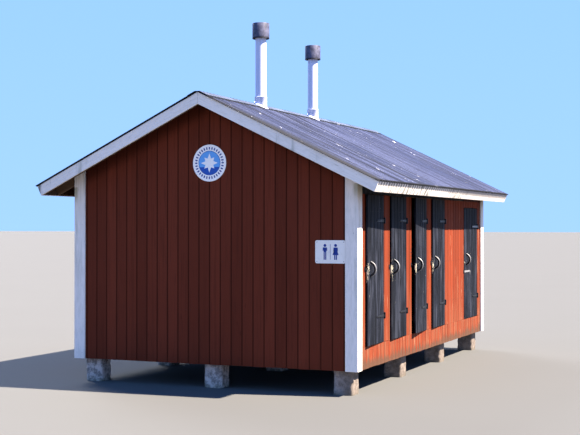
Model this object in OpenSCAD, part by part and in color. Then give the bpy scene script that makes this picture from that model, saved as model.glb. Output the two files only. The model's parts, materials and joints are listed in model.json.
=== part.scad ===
// Timber outbuilding with a row of five outward-opening plank doors, a corrugated
// gable roof and two roof vents. X runs across the gable with the doors on the +X
// side, Y runs from the front gable to the rear one, Z is up. The origin is on the
// ground, in the middle of the roof's length and width.

/* [Walls] */
// Width of the building over its wall boards
wall_w = 3920; // [3400:10:4600]
// Length of the building over its wall boards
wall_l = 6150; // [5700:10:7000]
// Height of the side walls, from the lower edge of the boards to the rafters
wall_h = 2312; // [2100:2:2600]
// Thickness of the wall boards
board_t = 22; // [18:1:28]
// Width of a stud, measured along the wall
stud_w = 45; // [40:1:60]
// Depth of a stud, from the boards inwards
stud_d = 95; // [70:1:120]
// Largest distance from one stud to the next
stud_pitch = 600; // [450:10:650]
// Width of the white corner boards
corner_w = 140; // [100:5:200]
// Thickness of the corner boards, bargeboards and fascias
trim_t = 22; // [18:1:30]

/* [Base] */
// Width of a pier, both ways
pier_w = 260; // [200:5:320]
// Height of a pier, from the ground to the sills
pier_h = 300; // [200:10:500]
// Distance from the outside of the wall boards to the side of a pier
pier_inset = 80; // [40:5:120]
// Chamfer on the upright edges of a pier
pier_chamfer = 15; // [5:1:30]
// Piers along each side
pier_rows = 4; // [3:1:6]
// Width of a sill beam
sill_w = 150; // [120:5:200]
// Height of a sill beam
sill_h = 150; // [100:5:200]
// Width of a floor joist
joist_w = 45; // [40:1:60]
// Height of a floor joist
joist_h = 95; // [70:5:150]
// Largest distance from one joist to the next
joist_pitch = 600; // [400:10:650]
// Thickness of the floor boards
floor_t = 25; // [20:1:35]

/* [Doors] */
// Width of each of the four like doors
door_w = 700; // [600:5:740]
// Distance from one like door to the next
door_pitch = 950; // [900:5:1000]
// Distance from the front of the wall to the first doorway
first_doorway = 305; // [250:5:400]
// Width of the fifth door
wide_door_w = 820; // [700:5:900]
// How much lower the top of the fifth door is
wide_door_drop = 101; // [40:1:200]
// Distance from the fifth doorway to the rear of the wall
last_strip = 335; // [250:5:450]
// Thickness of a door's planks
plank_t = 22; // [18:1:28]
// Planks in each door
plank_count = 5; // [4:1:7]
// Width of the groove between two planks
groove_w = 8; // [4:1:12]
// Depth of the groove between two planks
groove_d = 6; // [3:1:10]
// Height of a ledge across the back of a door
ledge_h = 110; // [80:5:150]
// Thickness of the ledges and braces
ledge_t = 22; // [18:1:28]
// Gap between a door and the sides of its doorway
side_gap = 7.5; // [6:0.5:10]
// Gap below and above a closed door
end_gap = 6; // [5:1:10]
// Gap between a door and the fascia that it swings under
fascia_gap = 12; // [8:1:60]
// How far a door's face stands out from the wall boards
leaf_proud = 5; // [4:0.5:8]
// How far a door post reaches behind the door as its stop
stop_lap = 12; // [8:1:20]
// Angle that the first door stands open at rest
door_1_ajar = 1.2; // [0:0.1:10]
// Angle that the third door stands open at rest
door_3_ajar = 4.5; // [0:0.1:10]

/* [Ironwork] */
// Length of a strap hinge, from its pin
strap_l = 330; // [200:5:400]
// Height of a strap and of its knuckle
strap_h = 34; // [28:1:45]
// Height of a strap at its far end
strap_tip_h = 24; // [16:1:28]
// Thickness of a strap
strap_t = 5; // [3:0.5:6]
// Radius of a hinge knuckle
knuckle_r = 9; // [8:0.5:12]
// Height of each fixed knuckle
fixed_knuckle_h = 20; // [14:1:30]
// Radius of a hinge pin
pin_r = 5; // [4:0.5:6]
// Width of the plate that holds a hinge to the wall
hinge_plate_w = 52; // [35:1:70]
// Distance from a door's lower edge to its lower hinge
low_hinge_z = 332; // [200:5:450]
// Distance from the upper edge of each of the four like doors to its upper hinge
high_hinge_drop = 316; // [200:2:450]
// Distance from the fifth door's upper edge to its upper hinge
wide_hinge_drop = 292; // [200:2:450]
// Distance from a door's lower edge to the middle of its handle
handle_z = 937; // [800:5:1100]
// Distance from a door's free edge to its handle
handle_in = 112; // [60:2:160]
// Height of a bow handle
handle_h = 190; // [140:5:240]
// How far a bow handle stands out
handle_out = 78; // [45:1:95]
// Radius of the bar of a bow handle
handle_r = 6; // [4:0.5:8]
// Length of the hasp on the fifth door
hasp_l = 320; // [120:5:400]
// Height of the hasp above the fifth door's lower edge
hasp_z = 748; // [600:5:800]

/* [Roof] */
// Slope of the roof, in degrees
roof_pitch = 25.8; // [20:0.1:32]
// How far the roofing reaches out past the side walls
eave_overhang = 412; // [300:2:480]
// How far the front bargeboards stand out from the front wall
front_overhang = 330; // [200:5:420]
// How far the rear bargeboards stand out from the rear wall
rear_overhang = 160; // [120:5:420]
// Width of a rafter
rafter_w = 45; // [40:1:60]
// Depth of a rafter
rafter_d = 110; // [90:5:130]
// Largest distance from one rafter to the next
rafter_pitch = 560; // [450:10:640]
// Thickness of the ridge beam
ridge_t = 45; // [36:1:60]
// Depth of the ridge beam
ridge_d = 150; // [120:5:200]
// Thickness of the wall plates at their outer side
plate_t = 45; // [35:1:70]
// Height of a collar tie
tie_h = 95; // [70:5:120]
// Thickness of a collar tie
tie_t = 32; // [22:1:45]
// Distance from the ridge down to the collar ties
tie_drop = 750; // [680:10:850]
// Thickness of the roof boards
roof_board_t = 22; // [18:1:28]
// Thickness of the roofing sheet
sheet_t = 3; // [2:0.5:4]
// Distance from one crest of the sheet to the next
wave_pitch = 95; // [76:1:120]
// Depth of the corrugations
wave_depth = 18; // [12:1:38]
// How far the sheet reaches past the bargeboards
verge_lip = 20; // [10:1:40]
// How far the sheet reaches past the fascias
eave_lip = 11; // [5:1:70]
// Depth of the bargeboards and fascias
barge_d = 132; // [110:2:180]
// Gap between the sheet and the tops of the bargeboards and fascias
barge_gap = 2; // [1:0.5:5]
// Length of each wing of the ridge cap
cap_wing = 130; // [110:5:200]
// Thickness of the ridge cap
cap_t = 3; // [2:0.5:5]

/* [Vents] */
// Outer diameter of a vent pipe
pipe_d = 150; // [110:5:200]
// Thickness of a vent pipe's wall
pipe_wall = 5; // [3:0.5:8]
// How far a vent pipe reaches down below the ridge
pipe_tail = 450; // [300:10:550]
// Distance from the ridge cap up to the top of the front cowl
front_pipe_rise = 1068; // [700:2:1300]
// Distance from the ridge cap up to the top of the rear cowl
rear_pipe_rise = 1024; // [700:2:1300]
// Distance from the front wall to the front vent
front_vent_y = 1344; // [700:2:2000]
// Distance from the front wall to the rear vent
rear_vent_y = 3234; // [2300:2:4200]
// Outer diameter of a cowl
cowl_d = 234; // [210:2:280]
// Height of a cowl
cowl_h = 210; // [150:5:260]
// Thickness of a cowl's wall
cowl_wall = 4; // [3:0.5:6]
// Air space between a pipe's end and its cowl's top
cowl_air = 60; // [30:5:90]
// Height of the collar round a pipe above the ridge
collar_h = 70; // [40:5:120]
// Thickness of the collar
collar_t = 9; // [6:1:14]

/* [Signs] */
// Width of the sign plate beside the corner
sign_w = 390; // [250:2:450]
// Height of the sign plate
sign_h = 279; // [200:1:320]
// Height of the middle of the sign above the lower edge of the wall
sign_z = 1430; // [1200:5:1600]
// Radius of the sign's corners
sign_r = 22; // [10:1:40]
// Diameter of the round plate on the gable
round_d = 464; // [300:2:500]
// Height of the middle of the round plate above the tops of the side walls
round_z = 220; // [120:2:330]
// Thickness of the sign and the round plate
sign_t = 5; // [3:0.5:8]

/* [Hidden] */

// Facets of a full circle
$fn = 64;
// A length that is past any edge that it has to cut
past = 10;
// A length longer than any part of the building
far = 20000;
// Steps in each corrugation of the sheet
wave_steps = 6;

wall_red = "#5c2622";
door_black = "#2f3036";
trim_white = "#e8eaee";
bare_wood = "#a58a66";
grey_stone = "#8d9199";
sheet_grey = "#6f7387";
pipe_white = "#f2f3f5";
cowl_grey = "#6d6772";
sign_white = "#eef1f5";
plate_blue = "#4a7fc0";
iron_black = "#26262a";

// Places along Y
front_y = -(wall_l + rear_overhang - front_overhang) / 2;
rear_y = front_y + wall_l;
frame_front = front_y + board_t;
frame_rear = rear_y - board_t;
inner_front = frame_front + stud_d;
inner_rear = frame_rear - stud_d;
verge_front = front_y - front_overhang;
verge_rear = rear_y + rear_overhang;

// Places across X
face_x = wall_w / 2;
frame_x = face_x - board_t;

// Heights of the base and floor
floor_bottom = pier_h + sill_h + joist_h;
floor_z = floor_bottom + floor_t;

// The roof slopes down from a line at ridge_z, the top of the rafters at X = 0. On the
// slope, u runs down it from the ridge and w stands square to it.
slope = tan(roof_pitch);
rafter_rise = rafter_d / cos(roof_pitch);
function under_z(x) = pier_h + wall_h + (frame_x - x) * slope;
function top_z(x) = under_z(x) + rafter_rise;
ridge_z = top_z(0);
function on_slope(u, w) = [
    u * cos(roof_pitch) + w * sin(roof_pitch),
    ridge_z - u * sin(roof_pitch) + w * cos(roof_pitch)
];
function plumb_at(x, w) = [x, ridge_z - x * slope + w / cos(roof_pitch)];
// Fine gap between a sloping face and the one it lies on, so that neither cuts the other
bed_gap = 0.02;
crest_w = roof_board_t + wave_depth + sheet_t;
cap_w = crest_w + cap_t;
sheet_end = (face_x + eave_overhang - crest_w * sin(roof_pitch)) / cos(roof_pitch);
fascia_u = sheet_end - eave_lip;
fascia_top = roof_board_t - barge_gap;
fascia_bottom = fascia_top - barge_d;
cap_z = plumb_at(0, cap_w)[1];
side_top = under_z(face_x);
plate_z = under_z(frame_x) - plate_t;

// Doors: number 0 to 3 are alike, and number 4 is the wide one
last = 4;
function leaf_w(i) = i < last ? door_w : wide_door_w;
function doorway_w(i) = leaf_w(i) + 2 * side_gap;
function doorway_y(i) = i < last
    ? front_y + first_doorway + i * door_pitch
    : rear_y - last_strip - doorway_w(i);
function ajar(i) = i == 0 ? door_1_ajar : i == 2 ? door_3_ajar : 0;
door_z = floor_z + end_gap;
// A door's top is at a whole millimetre
door_top = floor(on_slope(fascia_u, fascia_bottom)[1] - fascia_gap);
function leaf_top(i) = i < last ? door_top : door_top - wide_door_drop;
function leaf_h(i) = leaf_top(i) - door_z;
function doorway_top(i) = leaf_top(i) + end_gap;
hinge_x = face_x + leaf_proud + knuckle_r;
function hinge_y(i) = doorway_y(i) + doorway_w(i);
function hinge_drop(i) = i < last ? high_hinge_drop : wide_hinge_drop;
function hinge_heights(i) = [low_hinge_z, leaf_h(i) - hinge_drop(i)];
// Radial clearance of a pin in its knuckle
pin_clear = 0.05;
// Gap between the knuckles of one hinge
knuckle_gap = 1;
hinge_plate_h = strap_h + 2 * (knuckle_gap + fixed_knuckle_h);
// How far the ledges stop short of a door's edges
ledge_in = 35;
// Distance from a door's end to its nearest ledge
ledge_end = 150;
// Side and thickness of a handle's feet
foot_s = 32;
foot_t = 4;
// Width, height and thickness of a latch keeper, and its distance from the doorway
keeper_w = 26;
keeper_h = 62;
keeper_t = 4;
keeper_in = 8;
// Radius and length of the knob on a keeper
keeper_knob_r = 7;
keeper_knob_l = 14;
// Height and thickness of the hasp
hasp_h = 30;
hasp_t = 4;

// Vents
pipe_r = pipe_d / 2;
pipe_x = ridge_t / 2 + pipe_r;
// Gap between a pipe and the hole in the roof round it
hole_gap = 4;
function cowl_top(rise) = cap_z + rise;
function pipe_end(rise) = cowl_top(rise) - cowl_wall - cowl_air;
// Width of a spacer between a pipe and its cowl, and the distance from its end to the cowl's
spacer_w = 20;
spacer_in = 30;

// Rafters stand in equal bays between the two gables, and a vent keeps clear of them
function bays(span, pitch) = ceil(span / pitch);
rafter_span = frame_rear - frame_front - rafter_w;
rafter_bays = bays(rafter_span, rafter_pitch);
rafter_step = rafter_span / rafter_bays;
function rafter_y(k) = frame_front + k * rafter_step;
function vent_y(wanted) =
    let (k = floor((wanted - board_t) / rafter_step))
    let (low = rafter_y(k) + rafter_w + tie_t + hole_gap + pipe_r)
    let (high = rafter_y(k + 1) - hole_gap - pipe_r)
    min(max(front_y + wanted, low), high);
vent_places = [vent_y(front_vent_y), vent_y(rear_vent_y)];

// A flat shape drawn with X across and Z up, made solid from y1 to y2
module along_y(y1, y2) {
    translate([0, y2, 0]) rotate([90, 0, 0]) linear_extrude(y2 - y1) children();
}

module both_sides() {
    children();
    mirror([1, 0, 0]) children();
}

// A box from one corner to the opposite one
module block(low, high) {
    translate(low) cube(high - low);
}

// A board that lies on the right slope, plumb at x0 and square at u_end
module slope_board(x0, u_end, w_low, w_high, y1, y2) {
    along_y(y1, y2) polygon([
        plumb_at(x0, w_low), on_slope(u_end, w_low),
        on_slope(u_end, w_high), plumb_at(x0, w_high)
    ]);
}

// The shape of a gable up to the line w above the tops of the rafters
module gable_shape(half_w, z_low, w) {
    polygon([
        [-half_w, z_low], [half_w, z_low], plumb_at(half_w, w),
        plumb_at(0, w), [-plumb_at(half_w, w)[0], plumb_at(half_w, w)[1]]
    ]);
}

module vent_holes() {
    for (y = vent_places)
        translate([pipe_x, y, 0]) cylinder(r = pipe_r + hole_gap, h = far);
}

module pier() {
    c = pier_chamfer;
    linear_extrude(pier_h) polygon([
        [c, 0], [pier_w - c, 0], [pier_w, c], [pier_w, pier_w - c],
        [pier_w - c, pier_w], [c, pier_w], [0, pier_w - c], [0, c]
    ]);
}

module piers() {
    first = front_y + pier_inset;
    step = (wall_l - 2 * pier_inset - pier_w) / (pier_rows - 1);
    outer = face_x - pier_inset - pier_w;
    color(grey_stone)
        for (x = [-outer - pier_w, -pier_w / 2, outer])
            for (row = [0 : pier_rows - 1])
                translate([x, first + row * step, 0]) pier();
}

module long_sills() {
    color(bare_wood)
        for (x = [-frame_x, -sill_w / 2, frame_x - sill_w])
            block([x, frame_front, pier_h], [x + sill_w, frame_rear, pier_h + sill_h]);
}

module end_sills() {
    inner = frame_x - sill_w;
    color(bare_wood)
        both_sides()
            for (y = [frame_front, frame_rear - sill_w])
                block([sill_w / 2, y, pier_h], [inner, y + sill_w, pier_h + sill_h]);
}

module floor_joists() {
    span = frame_rear - frame_front - joist_w;
    count = bays(span, joist_pitch);
    z = pier_h + sill_h;
    color(bare_wood)
        for (k = [0 : count])
            translate([0, frame_front + k * span / count, 0])
                block([-frame_x, 0, z], [frame_x, joist_w, floor_bottom]);
}

module floor_boards() {
    color(bare_wood)
        block([-frame_x, frame_front, floor_bottom], [frame_x, frame_rear, floor_z]);
}

module gable_wall(y1) {
    color(wall_red) along_y(y1, y1 + board_t) gable_shape(face_x, pier_h, 0);
}

module front_wall() gable_wall(front_y);

module rear_wall() gable_wall(frame_rear);

module left_wall() {
    color(wall_red)
        block([-face_x, frame_front, pier_h], [-frame_x, frame_rear, side_top]);
}

// Boards on the door side, over a stretch of wall
module door_side_boards(y1, y2, z1, z2) {
    block([frame_x, y1, z1], [face_x, y2, z2]);
}

module door_wall_base() {
    color(wall_red) door_side_boards(frame_front, frame_rear, pier_h, floor_z);
}

module door_wall_strips() {
    top = doorway_top(0);
    color(wall_red) {
        door_side_boards(frame_front, doorway_y(0), floor_z, top);
        for (i = [0 : last - 2])
            door_side_boards(hinge_y(i), doorway_y(i + 1), floor_z, top);
        door_side_boards(hinge_y(last), frame_rear, floor_z, top);
    }
}

module door_wall_panel() {
    color(wall_red)
        door_side_boards(hinge_y(last - 1), doorway_y(last), floor_z, doorway_top(0));
}

module door_wall_header() {
    color(wall_red) {
        door_side_boards(frame_front, frame_rear, doorway_top(0), side_top);
        door_side_boards(doorway_y(last), hinge_y(last), doorway_top(last), side_top);
    }
}

// Studs on a sole plate, with sloping tops that carry the gable rafters
module gable_frame(y1) {
    span = 2 * frame_x - stud_w;
    count = bays(span, stud_pitch);
    color(bare_wood) intersection() {
        along_y(y1, y1 + stud_d) gable_shape(frame_x, floor_z, -rafter_d - bed_gap);
        union() {
            block([-far, y1, floor_z], [far, y1 + stud_d, floor_z + stud_w]);
            block([-far, y1, plate_z], [far, y1 + stud_d, plate_z + plate_t]);
            for (k = [0 : count])
                translate([-frame_x + k * span / count, y1, floor_z])
                    cube([stud_w, stud_d, far]);
        }
    }
}

module front_frame() gable_frame(frame_front);

module rear_frame() gable_frame(inner_rear);

module left_frame() {
    span = inner_rear - inner_front - stud_w;
    count = bays(span, stud_pitch);
    color(bare_wood) translate([-frame_x, inner_front, floor_z]) {
        cube([stud_d, span + stud_w, stud_w]);
        for (k = [0 : count])
            translate([0, k * span / count, 0]) cube([stud_d, stud_w, plate_z - floor_z]);
    }
}

// A post on the door side, from y to y + stud_w
module door_post(y) {
    block([frame_x - stud_d, y, floor_z], [frame_x, y + stud_w, doorway_top(0)]);
}

module door_posts() {
    panel_middle = (hinge_y(last - 1) + doorway_y(last)) / 2;
    color(bare_wood) {
        for (i = [0 : last]) {
            door_post(doorway_y(i) + stop_lap - stud_w);
            door_post(hinge_y(i) - stop_lap);
        }
        door_post(panel_middle - stud_w / 2);
    }
}

module door_header_beam() {
    low_y = doorway_y(last) + stop_lap;
    high_y = hinge_y(last) - stop_lap;
    color(bare_wood) {
        block([frame_x - stud_d, inner_front, doorway_top(0)],
              [frame_x, inner_rear, plate_z]);
        block([frame_x - stud_d, low_y, doorway_top(last)],
              [frame_x, high_y, plate_z]);
    }
}

module wall_plates() {
    inner = frame_x - stud_d;
    color(bare_wood) both_sides() along_y(inner_front, inner_rear) polygon([
        [inner, plate_z], [frame_x, plate_z],
        [frame_x, under_z(frame_x) - bed_gap], [inner, under_z(inner) - bed_gap]
    ]);
}

module collar_ties() {
    low = ridge_z - tie_drop;
    high = low + tie_h;
    low_x = (ridge_z - low) / slope;
    high_x = (ridge_z - high) / slope;
    color(bare_wood)
        for (k = [1 : 2 : rafter_bays - 1])
            along_y(rafter_y(k) + rafter_w, rafter_y(k) + rafter_w + tie_t)
                polygon([[-low_x, low], [low_x, low], [high_x, high], [-high_x, high]]);
}

module ridge_beam() {
    half = ridge_t / 2;
    color(bare_wood) along_y(frame_front, frame_rear) polygon([
        [-half, ridge_z - ridge_d], [half, ridge_z - ridge_d],
        [half, top_z(half)], [0, ridge_z], [-half, top_z(half)]
    ]);
}

// Rafters of the right slope: one on each bay line, and one behind each bargeboard
module rafters() {
    end = fascia_u - trim_t;
    for (k = [0 : rafter_bays])
        slope_board(ridge_t / 2, end, -rafter_d, 0, rafter_y(k), rafter_y(k) + rafter_w);
    for (y = [verge_front + trim_t, verge_rear - trim_t - rafter_w])
        slope_board(0, end, -rafter_d, 0, y, y + rafter_w);
}

module right_rafters() {
    color(bare_wood) rafters();
}

module left_rafters() {
    color(bare_wood) mirror([1, 0, 0]) rafters();
}

module roof_boards() {
    slope_board(0, fascia_u - trim_t, bed_gap, roof_board_t,
                verge_front + trim_t, verge_rear - trim_t);
}

module right_roof_boards() {
    color(bare_wood) difference() {
        roof_boards();
        vent_holes();
    }
}

module left_roof_boards() {
    color(bare_wood) mirror([1, 0, 0]) roof_boards();
}

// Corrugated roofing of the right slope: the wave is drawn along Y and pushed down the slope
module roof_sheets() {
    length = verge_rear - verge_front + 2 * verge_lip;
    steps = round(length / wave_pitch * wave_steps);
    function wave(k) = wave_depth * (1 - cos(360 * k / wave_steps)) / 2;
    lower = [for (k = [0 : steps]) [k * length / steps, wave(k)]];
    upper = [for (k = [steps : -1 : 0]) [k * length / steps, wave(k) + sheet_t]];
    translate([0, verge_front - verge_lip, ridge_z])
        rotate([0, roof_pitch, 0])
            translate([0, 0, roof_board_t])
                rotate([90, 0, 90]) linear_extrude(sheet_end) polygon(concat(lower, upper));
}

module right_roof_sheets() {
    color(sheet_grey) difference() {
        roof_sheets();
        vent_holes();
    }
}

module left_roof_sheets() {
    color(sheet_grey) mirror([1, 0, 0]) roof_sheets();
}

module ridge_cap() {
    low = on_slope(cap_wing, crest_w);
    high = on_slope(cap_wing, cap_w);
    color(sheet_grey) difference() {
        along_y(verge_front - verge_lip, verge_rear + verge_lip) polygon([
            plumb_at(0, crest_w), low, high, plumb_at(0, cap_w),
            [-high[0], high[1]], [-low[0], low[1]]
        ]);
        vent_holes();
    }
}

// A pair of bargeboards, with a fine plumb joint between them
module bargeboards(y1) {
    half_joint = 1;
    color(trim_white) both_sides()
        slope_board(half_joint, fascia_u, fascia_bottom, fascia_top, y1, y1 + trim_t);
}

module front_bargeboards() bargeboards(verge_front);

module rear_bargeboards() bargeboards(verge_rear - trim_t);

module eave_fascias() {
    inner = fascia_u - trim_t;
    color(trim_white) both_sides() along_y(verge_front + trim_t, verge_rear - trim_t)
        polygon([
            on_slope(inner, fascia_bottom), on_slope(fascia_u, fascia_bottom),
            on_slope(fascia_u, fascia_top), on_slope(inner, fascia_top)
        ]);
}

// Two boards round the right corner of a gable whose face is at y1 to y2
module corner_pair(y1, y2, side_y1, side_y2) {
    inner = face_x - corner_w;
    outer = face_x + trim_t;
    along_y(y1, y2) polygon([
        [inner, pier_h], [outer, pier_h], plumb_at(outer, 0), plumb_at(inner, 0)
    ]);
    block([face_x, side_y1, pier_h], [outer, side_y2, under_z(outer)]);
}

module corner_boards() {
    color(trim_white) both_sides() {
        corner_pair(front_y - trim_t, front_y, front_y, front_y + corner_w);
        corner_pair(rear_y, rear_y + trim_t, rear_y - corner_w, rear_y);
    }
}

module vent_pipe(y, rise) {
    low = ridge_z - pipe_tail;
    color(pipe_white) translate([pipe_x, y, low]) difference() {
        cylinder(r = pipe_r, h = pipe_end(rise) - low);
        translate([0, 0, -past]) cylinder(r = pipe_r - pipe_wall, h = far);
    }
}

module front_vent_pipe() vent_pipe(vent_places[0], front_pipe_rise);

module rear_vent_pipe() vent_pipe(vent_places[1], rear_pipe_rise);

// A closed cap over a pipe's end, held off the pipe by three spacers
module vent_cowl(y, rise) {
    inner_r = cowl_d / 2 - cowl_wall;
    spacer_z = cowl_h - cowl_wall - cowl_air - spacer_in;
    color(cowl_grey) translate([pipe_x, y, cowl_top(rise) - cowl_h]) {
        difference() {
            cylinder(r = cowl_d / 2, h = cowl_h);
            translate([0, 0, -past]) cylinder(r = inner_r, h = cowl_h - cowl_wall + past);
        }
        difference() {
            for (turn = [30, 150, 270])
                rotate([0, 0, turn])
                    block([0, -spacer_w / 2, spacer_in],
                          [inner_r + cowl_wall / 2, spacer_w / 2, spacer_z]);
            translate([0, 0, -past]) cylinder(r = pipe_r, h = far);
        }
    }
}

module front_vent_cowl() vent_cowl(vent_places[0], front_pipe_rise);

module rear_vent_cowl() vent_cowl(vent_places[1], rear_pipe_rise);

// Sleeves round the pipes, cut below to the slope of the ridge cap
module vent_collars() {
    color(pipe_white) for (y = vent_places)
        difference() {
            translate([pipe_x, y, ridge_z - pipe_tail])
                cylinder(r = pipe_r + collar_t, h = cap_z + collar_h - ridge_z + pipe_tail);
            translate([pipe_x, y, 0]) cylinder(r = pipe_r, h = far);
            along_y(y - pipe_d, y + pipe_d) gable_shape(face_x, 0, cap_w);
        }
}

module sign_plate() {
    right = face_x - corner_w;
    centre_z = pier_h + sign_z;
    color(sign_white) along_y(front_y - sign_t, front_y)
        translate([right - sign_w / 2, centre_z]) {
            square([sign_w - 2 * sign_r, sign_h], center = true);
            square([sign_w, sign_h - 2 * sign_r], center = true);
            for (x = [-1, 1])
                for (z = [-1, 1])
                    translate([x * (sign_w / 2 - sign_r), z * (sign_h / 2 - sign_r)])
                        circle(r = sign_r);
        }
}

module round_plate() {
    color(plate_blue) translate([0, front_y, pier_h + wall_h + round_z])
        rotate([90, 0, 0]) cylinder(d = round_d, h = sign_t);
}

// Puts a door's pieces on its hinge line, turned to where the door rests. X = 0 is the
// line of the pins, the leaf's face is at X = -knuckle_r and it runs towards -Y.
module at_door(i) {
    translate([hinge_x, hinge_y(i), door_z]) rotate([0, 0, ajar(i)]) children();
}

// Planks with V grooves between them, and on the back three ledges and two braces
module leaf(i) {
    w = leaf_w(i);
    h = leaf_h(i);
    free = -side_gap - w;
    face = -knuckle_r;
    back = face - plank_t;
    plank_w = w / plank_count;
    ledges = [ledge_end, h / 2 - ledge_h / 2, h - ledge_end - ledge_h];
    start = free + ledge_in;
    end = -side_gap - ledge_in;
    at_door(i) {
        difference() {
            block([back, free, 0], [face, -side_gap, h]);
            for (k = [1 : plank_count - 1])
                translate([face, free + k * plank_w, -past])
                    linear_extrude(h + 2 * past) polygon([
                        [-groove_d, 0], [past, -groove_w / 2 - past * groove_w / groove_d / 2],
                        [past, groove_w / 2 + past * groove_w / groove_d / 2]
                    ]);
        }
        for (z = ledges)
            block([back - ledge_t, start, z], [back, end, z + ledge_h]);
        for (k = [0, 1])
            translate([back, 0, 0]) rotate([0, -90, 0]) linear_extrude(ledge_t) polygon([
                [ledges[k] + ledge_h, end - ledge_h], [ledges[k] + ledge_h, end],
                [ledges[k + 1], start + ledge_h], [ledges[k + 1], start]
            ]);
    }
}

// The strap of a hinge and its knuckle, with the middle of the knuckle at the origin
module strap() {
    tip_r = strap_tip_h / 2;
    difference() {
        union() {
            translate([-knuckle_r, 0, 0]) rotate([90, 0, 90]) linear_extrude(strap_t) {
                polygon([
                    [0, -strap_h / 2], [0, strap_h / 2],
                    [tip_r - strap_l, tip_r], [tip_r - strap_l, -tip_r]
                ]);
                translate([tip_r - strap_l, 0]) circle(r = tip_r);
            }
            cylinder(r = knuckle_r, h = strap_h, center = true);
        }
        cylinder(r = pin_r + pin_clear, h = strap_h + past, center = true);
    }
}

// The wall plate of a hinge, with its two knuckles and its pin
module hinge_plate() {
    wall = -knuckle_r - leaf_proud;
    half = hinge_plate_h / 2;
    block([wall, 0, -half], [-knuckle_r, hinge_plate_w, half]);
    cylinder(r = pin_r, h = hinge_plate_h, center = true);
    for (z = [-half, half - fixed_knuckle_h]) {
        translate([0, 0, z]) cylinder(r = knuckle_r, h = fixed_knuckle_h);
        block([wall, 0, z], [0, knuckle_r, z + fixed_knuckle_h]);
    }
}

module hinge_plates() {
    color(iron_black)
        for (i = [0 : last])
            for (z = hinge_heights(i))
                translate([hinge_x, hinge_y(i), door_z + z]) hinge_plate();
}

// A bar bent to an arc that stands out from the door on two feet
module bow_handle() {
    reach = handle_out - handle_r;
    arc_r = (handle_h * handle_h / 4 + reach * reach) / (2 * reach);
    half_turn = asin(handle_h / 2 / arc_r);
    intersection() {
        translate([reach - arc_r, 0, 0]) rotate([90, 0, 0]) rotate([0, 0, -half_turn])
            rotate_extrude(angle = 2 * half_turn) translate([arc_r, 0]) circle(r = handle_r);
        block([0, -far, -far], [far, far, far]);
    }
    for (z = [-1, 1])
        translate([0, -foot_s / 2, z * handle_h / 2 - foot_s / 2])
            cube([foot_t, foot_s, foot_s]);
}

module ironwork(i) {
    free = -side_gap - leaf_w(i);
    at_door(i) {
        for (z = hinge_heights(i)) translate([0, 0, z]) strap();
        translate([-knuckle_r, free + handle_in, handle_z]) bow_handle();
        if (i == last)
            block([-knuckle_r, free, hasp_z - hasp_h / 2],
                  [-knuckle_r + hasp_t, free + hasp_l, hasp_z + hasp_h / 2]);
    }
}

// Small plates with a knob on the wall beside each door's free edge
module latch_keepers() {
    color(iron_black)
        for (i = [0 : last]) {
            z = door_z + (i == last ? hasp_z : handle_z);
            translate([face_x, doorway_y(i) - keeper_in - keeper_w, z - keeper_h / 2]) {
                cube([keeper_t, keeper_w, keeper_h]);
                translate([0, keeper_w / 2, keeper_h / 2]) rotate([0, 90, 0])
                    cylinder(r = keeper_knob_r, h = keeper_knob_l);
            }
        }
}

module door_1() color(door_black) leaf(0);
module door_2() color(door_black) leaf(1);
module door_3() color(door_black) leaf(2);
module door_4() color(door_black) leaf(3);
module door_5() color(door_black) leaf(4);
module door_1_ironwork() color(iron_black) ironwork(0);
module door_2_ironwork() color(iron_black) ironwork(1);
module door_3_ironwork() color(iron_black) ironwork(2);
module door_4_ironwork() color(iron_black) ironwork(3);
module door_5_ironwork() color(iron_black) ironwork(4);

piers();
long_sills();
end_sills();
floor_joists();
floor_boards();
front_wall();
rear_wall();
left_wall();
door_wall_base();
door_wall_strips();
door_wall_panel();
door_wall_header();
front_frame();
rear_frame();
left_frame();
door_posts();
door_header_beam();
wall_plates();
collar_ties();
ridge_beam();
left_rafters();
right_rafters();
left_roof_boards();
right_roof_boards();
left_roof_sheets();
right_roof_sheets();
ridge_cap();
front_bargeboards();
rear_bargeboards();
eave_fascias();
corner_boards();
front_vent_pipe();
rear_vent_pipe();
front_vent_cowl();
rear_vent_cowl();
vent_collars();
sign_plate();
round_plate();
hinge_plates();
latch_keepers();
door_1();
door_2();
door_3();
door_4();
door_5();
door_1_ironwork();
door_2_ironwork();
door_3_ironwork();
door_4_ironwork();
door_5_ironwork();
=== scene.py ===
"""The finished surfaces of a timber outbuilding with five plank doors and a corrugated roof.

X runs across the gable with the doors on the +X side, Y runs from the front gable to the rear one
and Z is up, in metres, as in the frame. Each operator makes one group of pieces.
"""

import json
import math
from contextlib import contextmanager
from functools import cache

import bmesh
import bpy
import numpy as np
from mathutils import Matrix, Vector, noise


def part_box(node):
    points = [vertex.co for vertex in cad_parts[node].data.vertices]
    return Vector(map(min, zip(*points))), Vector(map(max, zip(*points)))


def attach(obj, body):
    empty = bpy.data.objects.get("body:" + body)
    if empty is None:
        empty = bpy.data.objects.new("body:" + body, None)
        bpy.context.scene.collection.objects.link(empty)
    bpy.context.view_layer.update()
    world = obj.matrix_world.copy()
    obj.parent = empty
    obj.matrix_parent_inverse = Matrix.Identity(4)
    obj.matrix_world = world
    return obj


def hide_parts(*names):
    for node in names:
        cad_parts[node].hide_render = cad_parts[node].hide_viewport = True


bl_info = {
    "name": "Timber outbuilding",
    "version": (1, 0, 0),
    "blender": (4, 5, 0),
    "location": "View3D > Sidebar > Outbuilding",
    "description": "Boards, doors, roofing, vents and plates of a timber outbuilding",
    "category": "Object",
}

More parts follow.
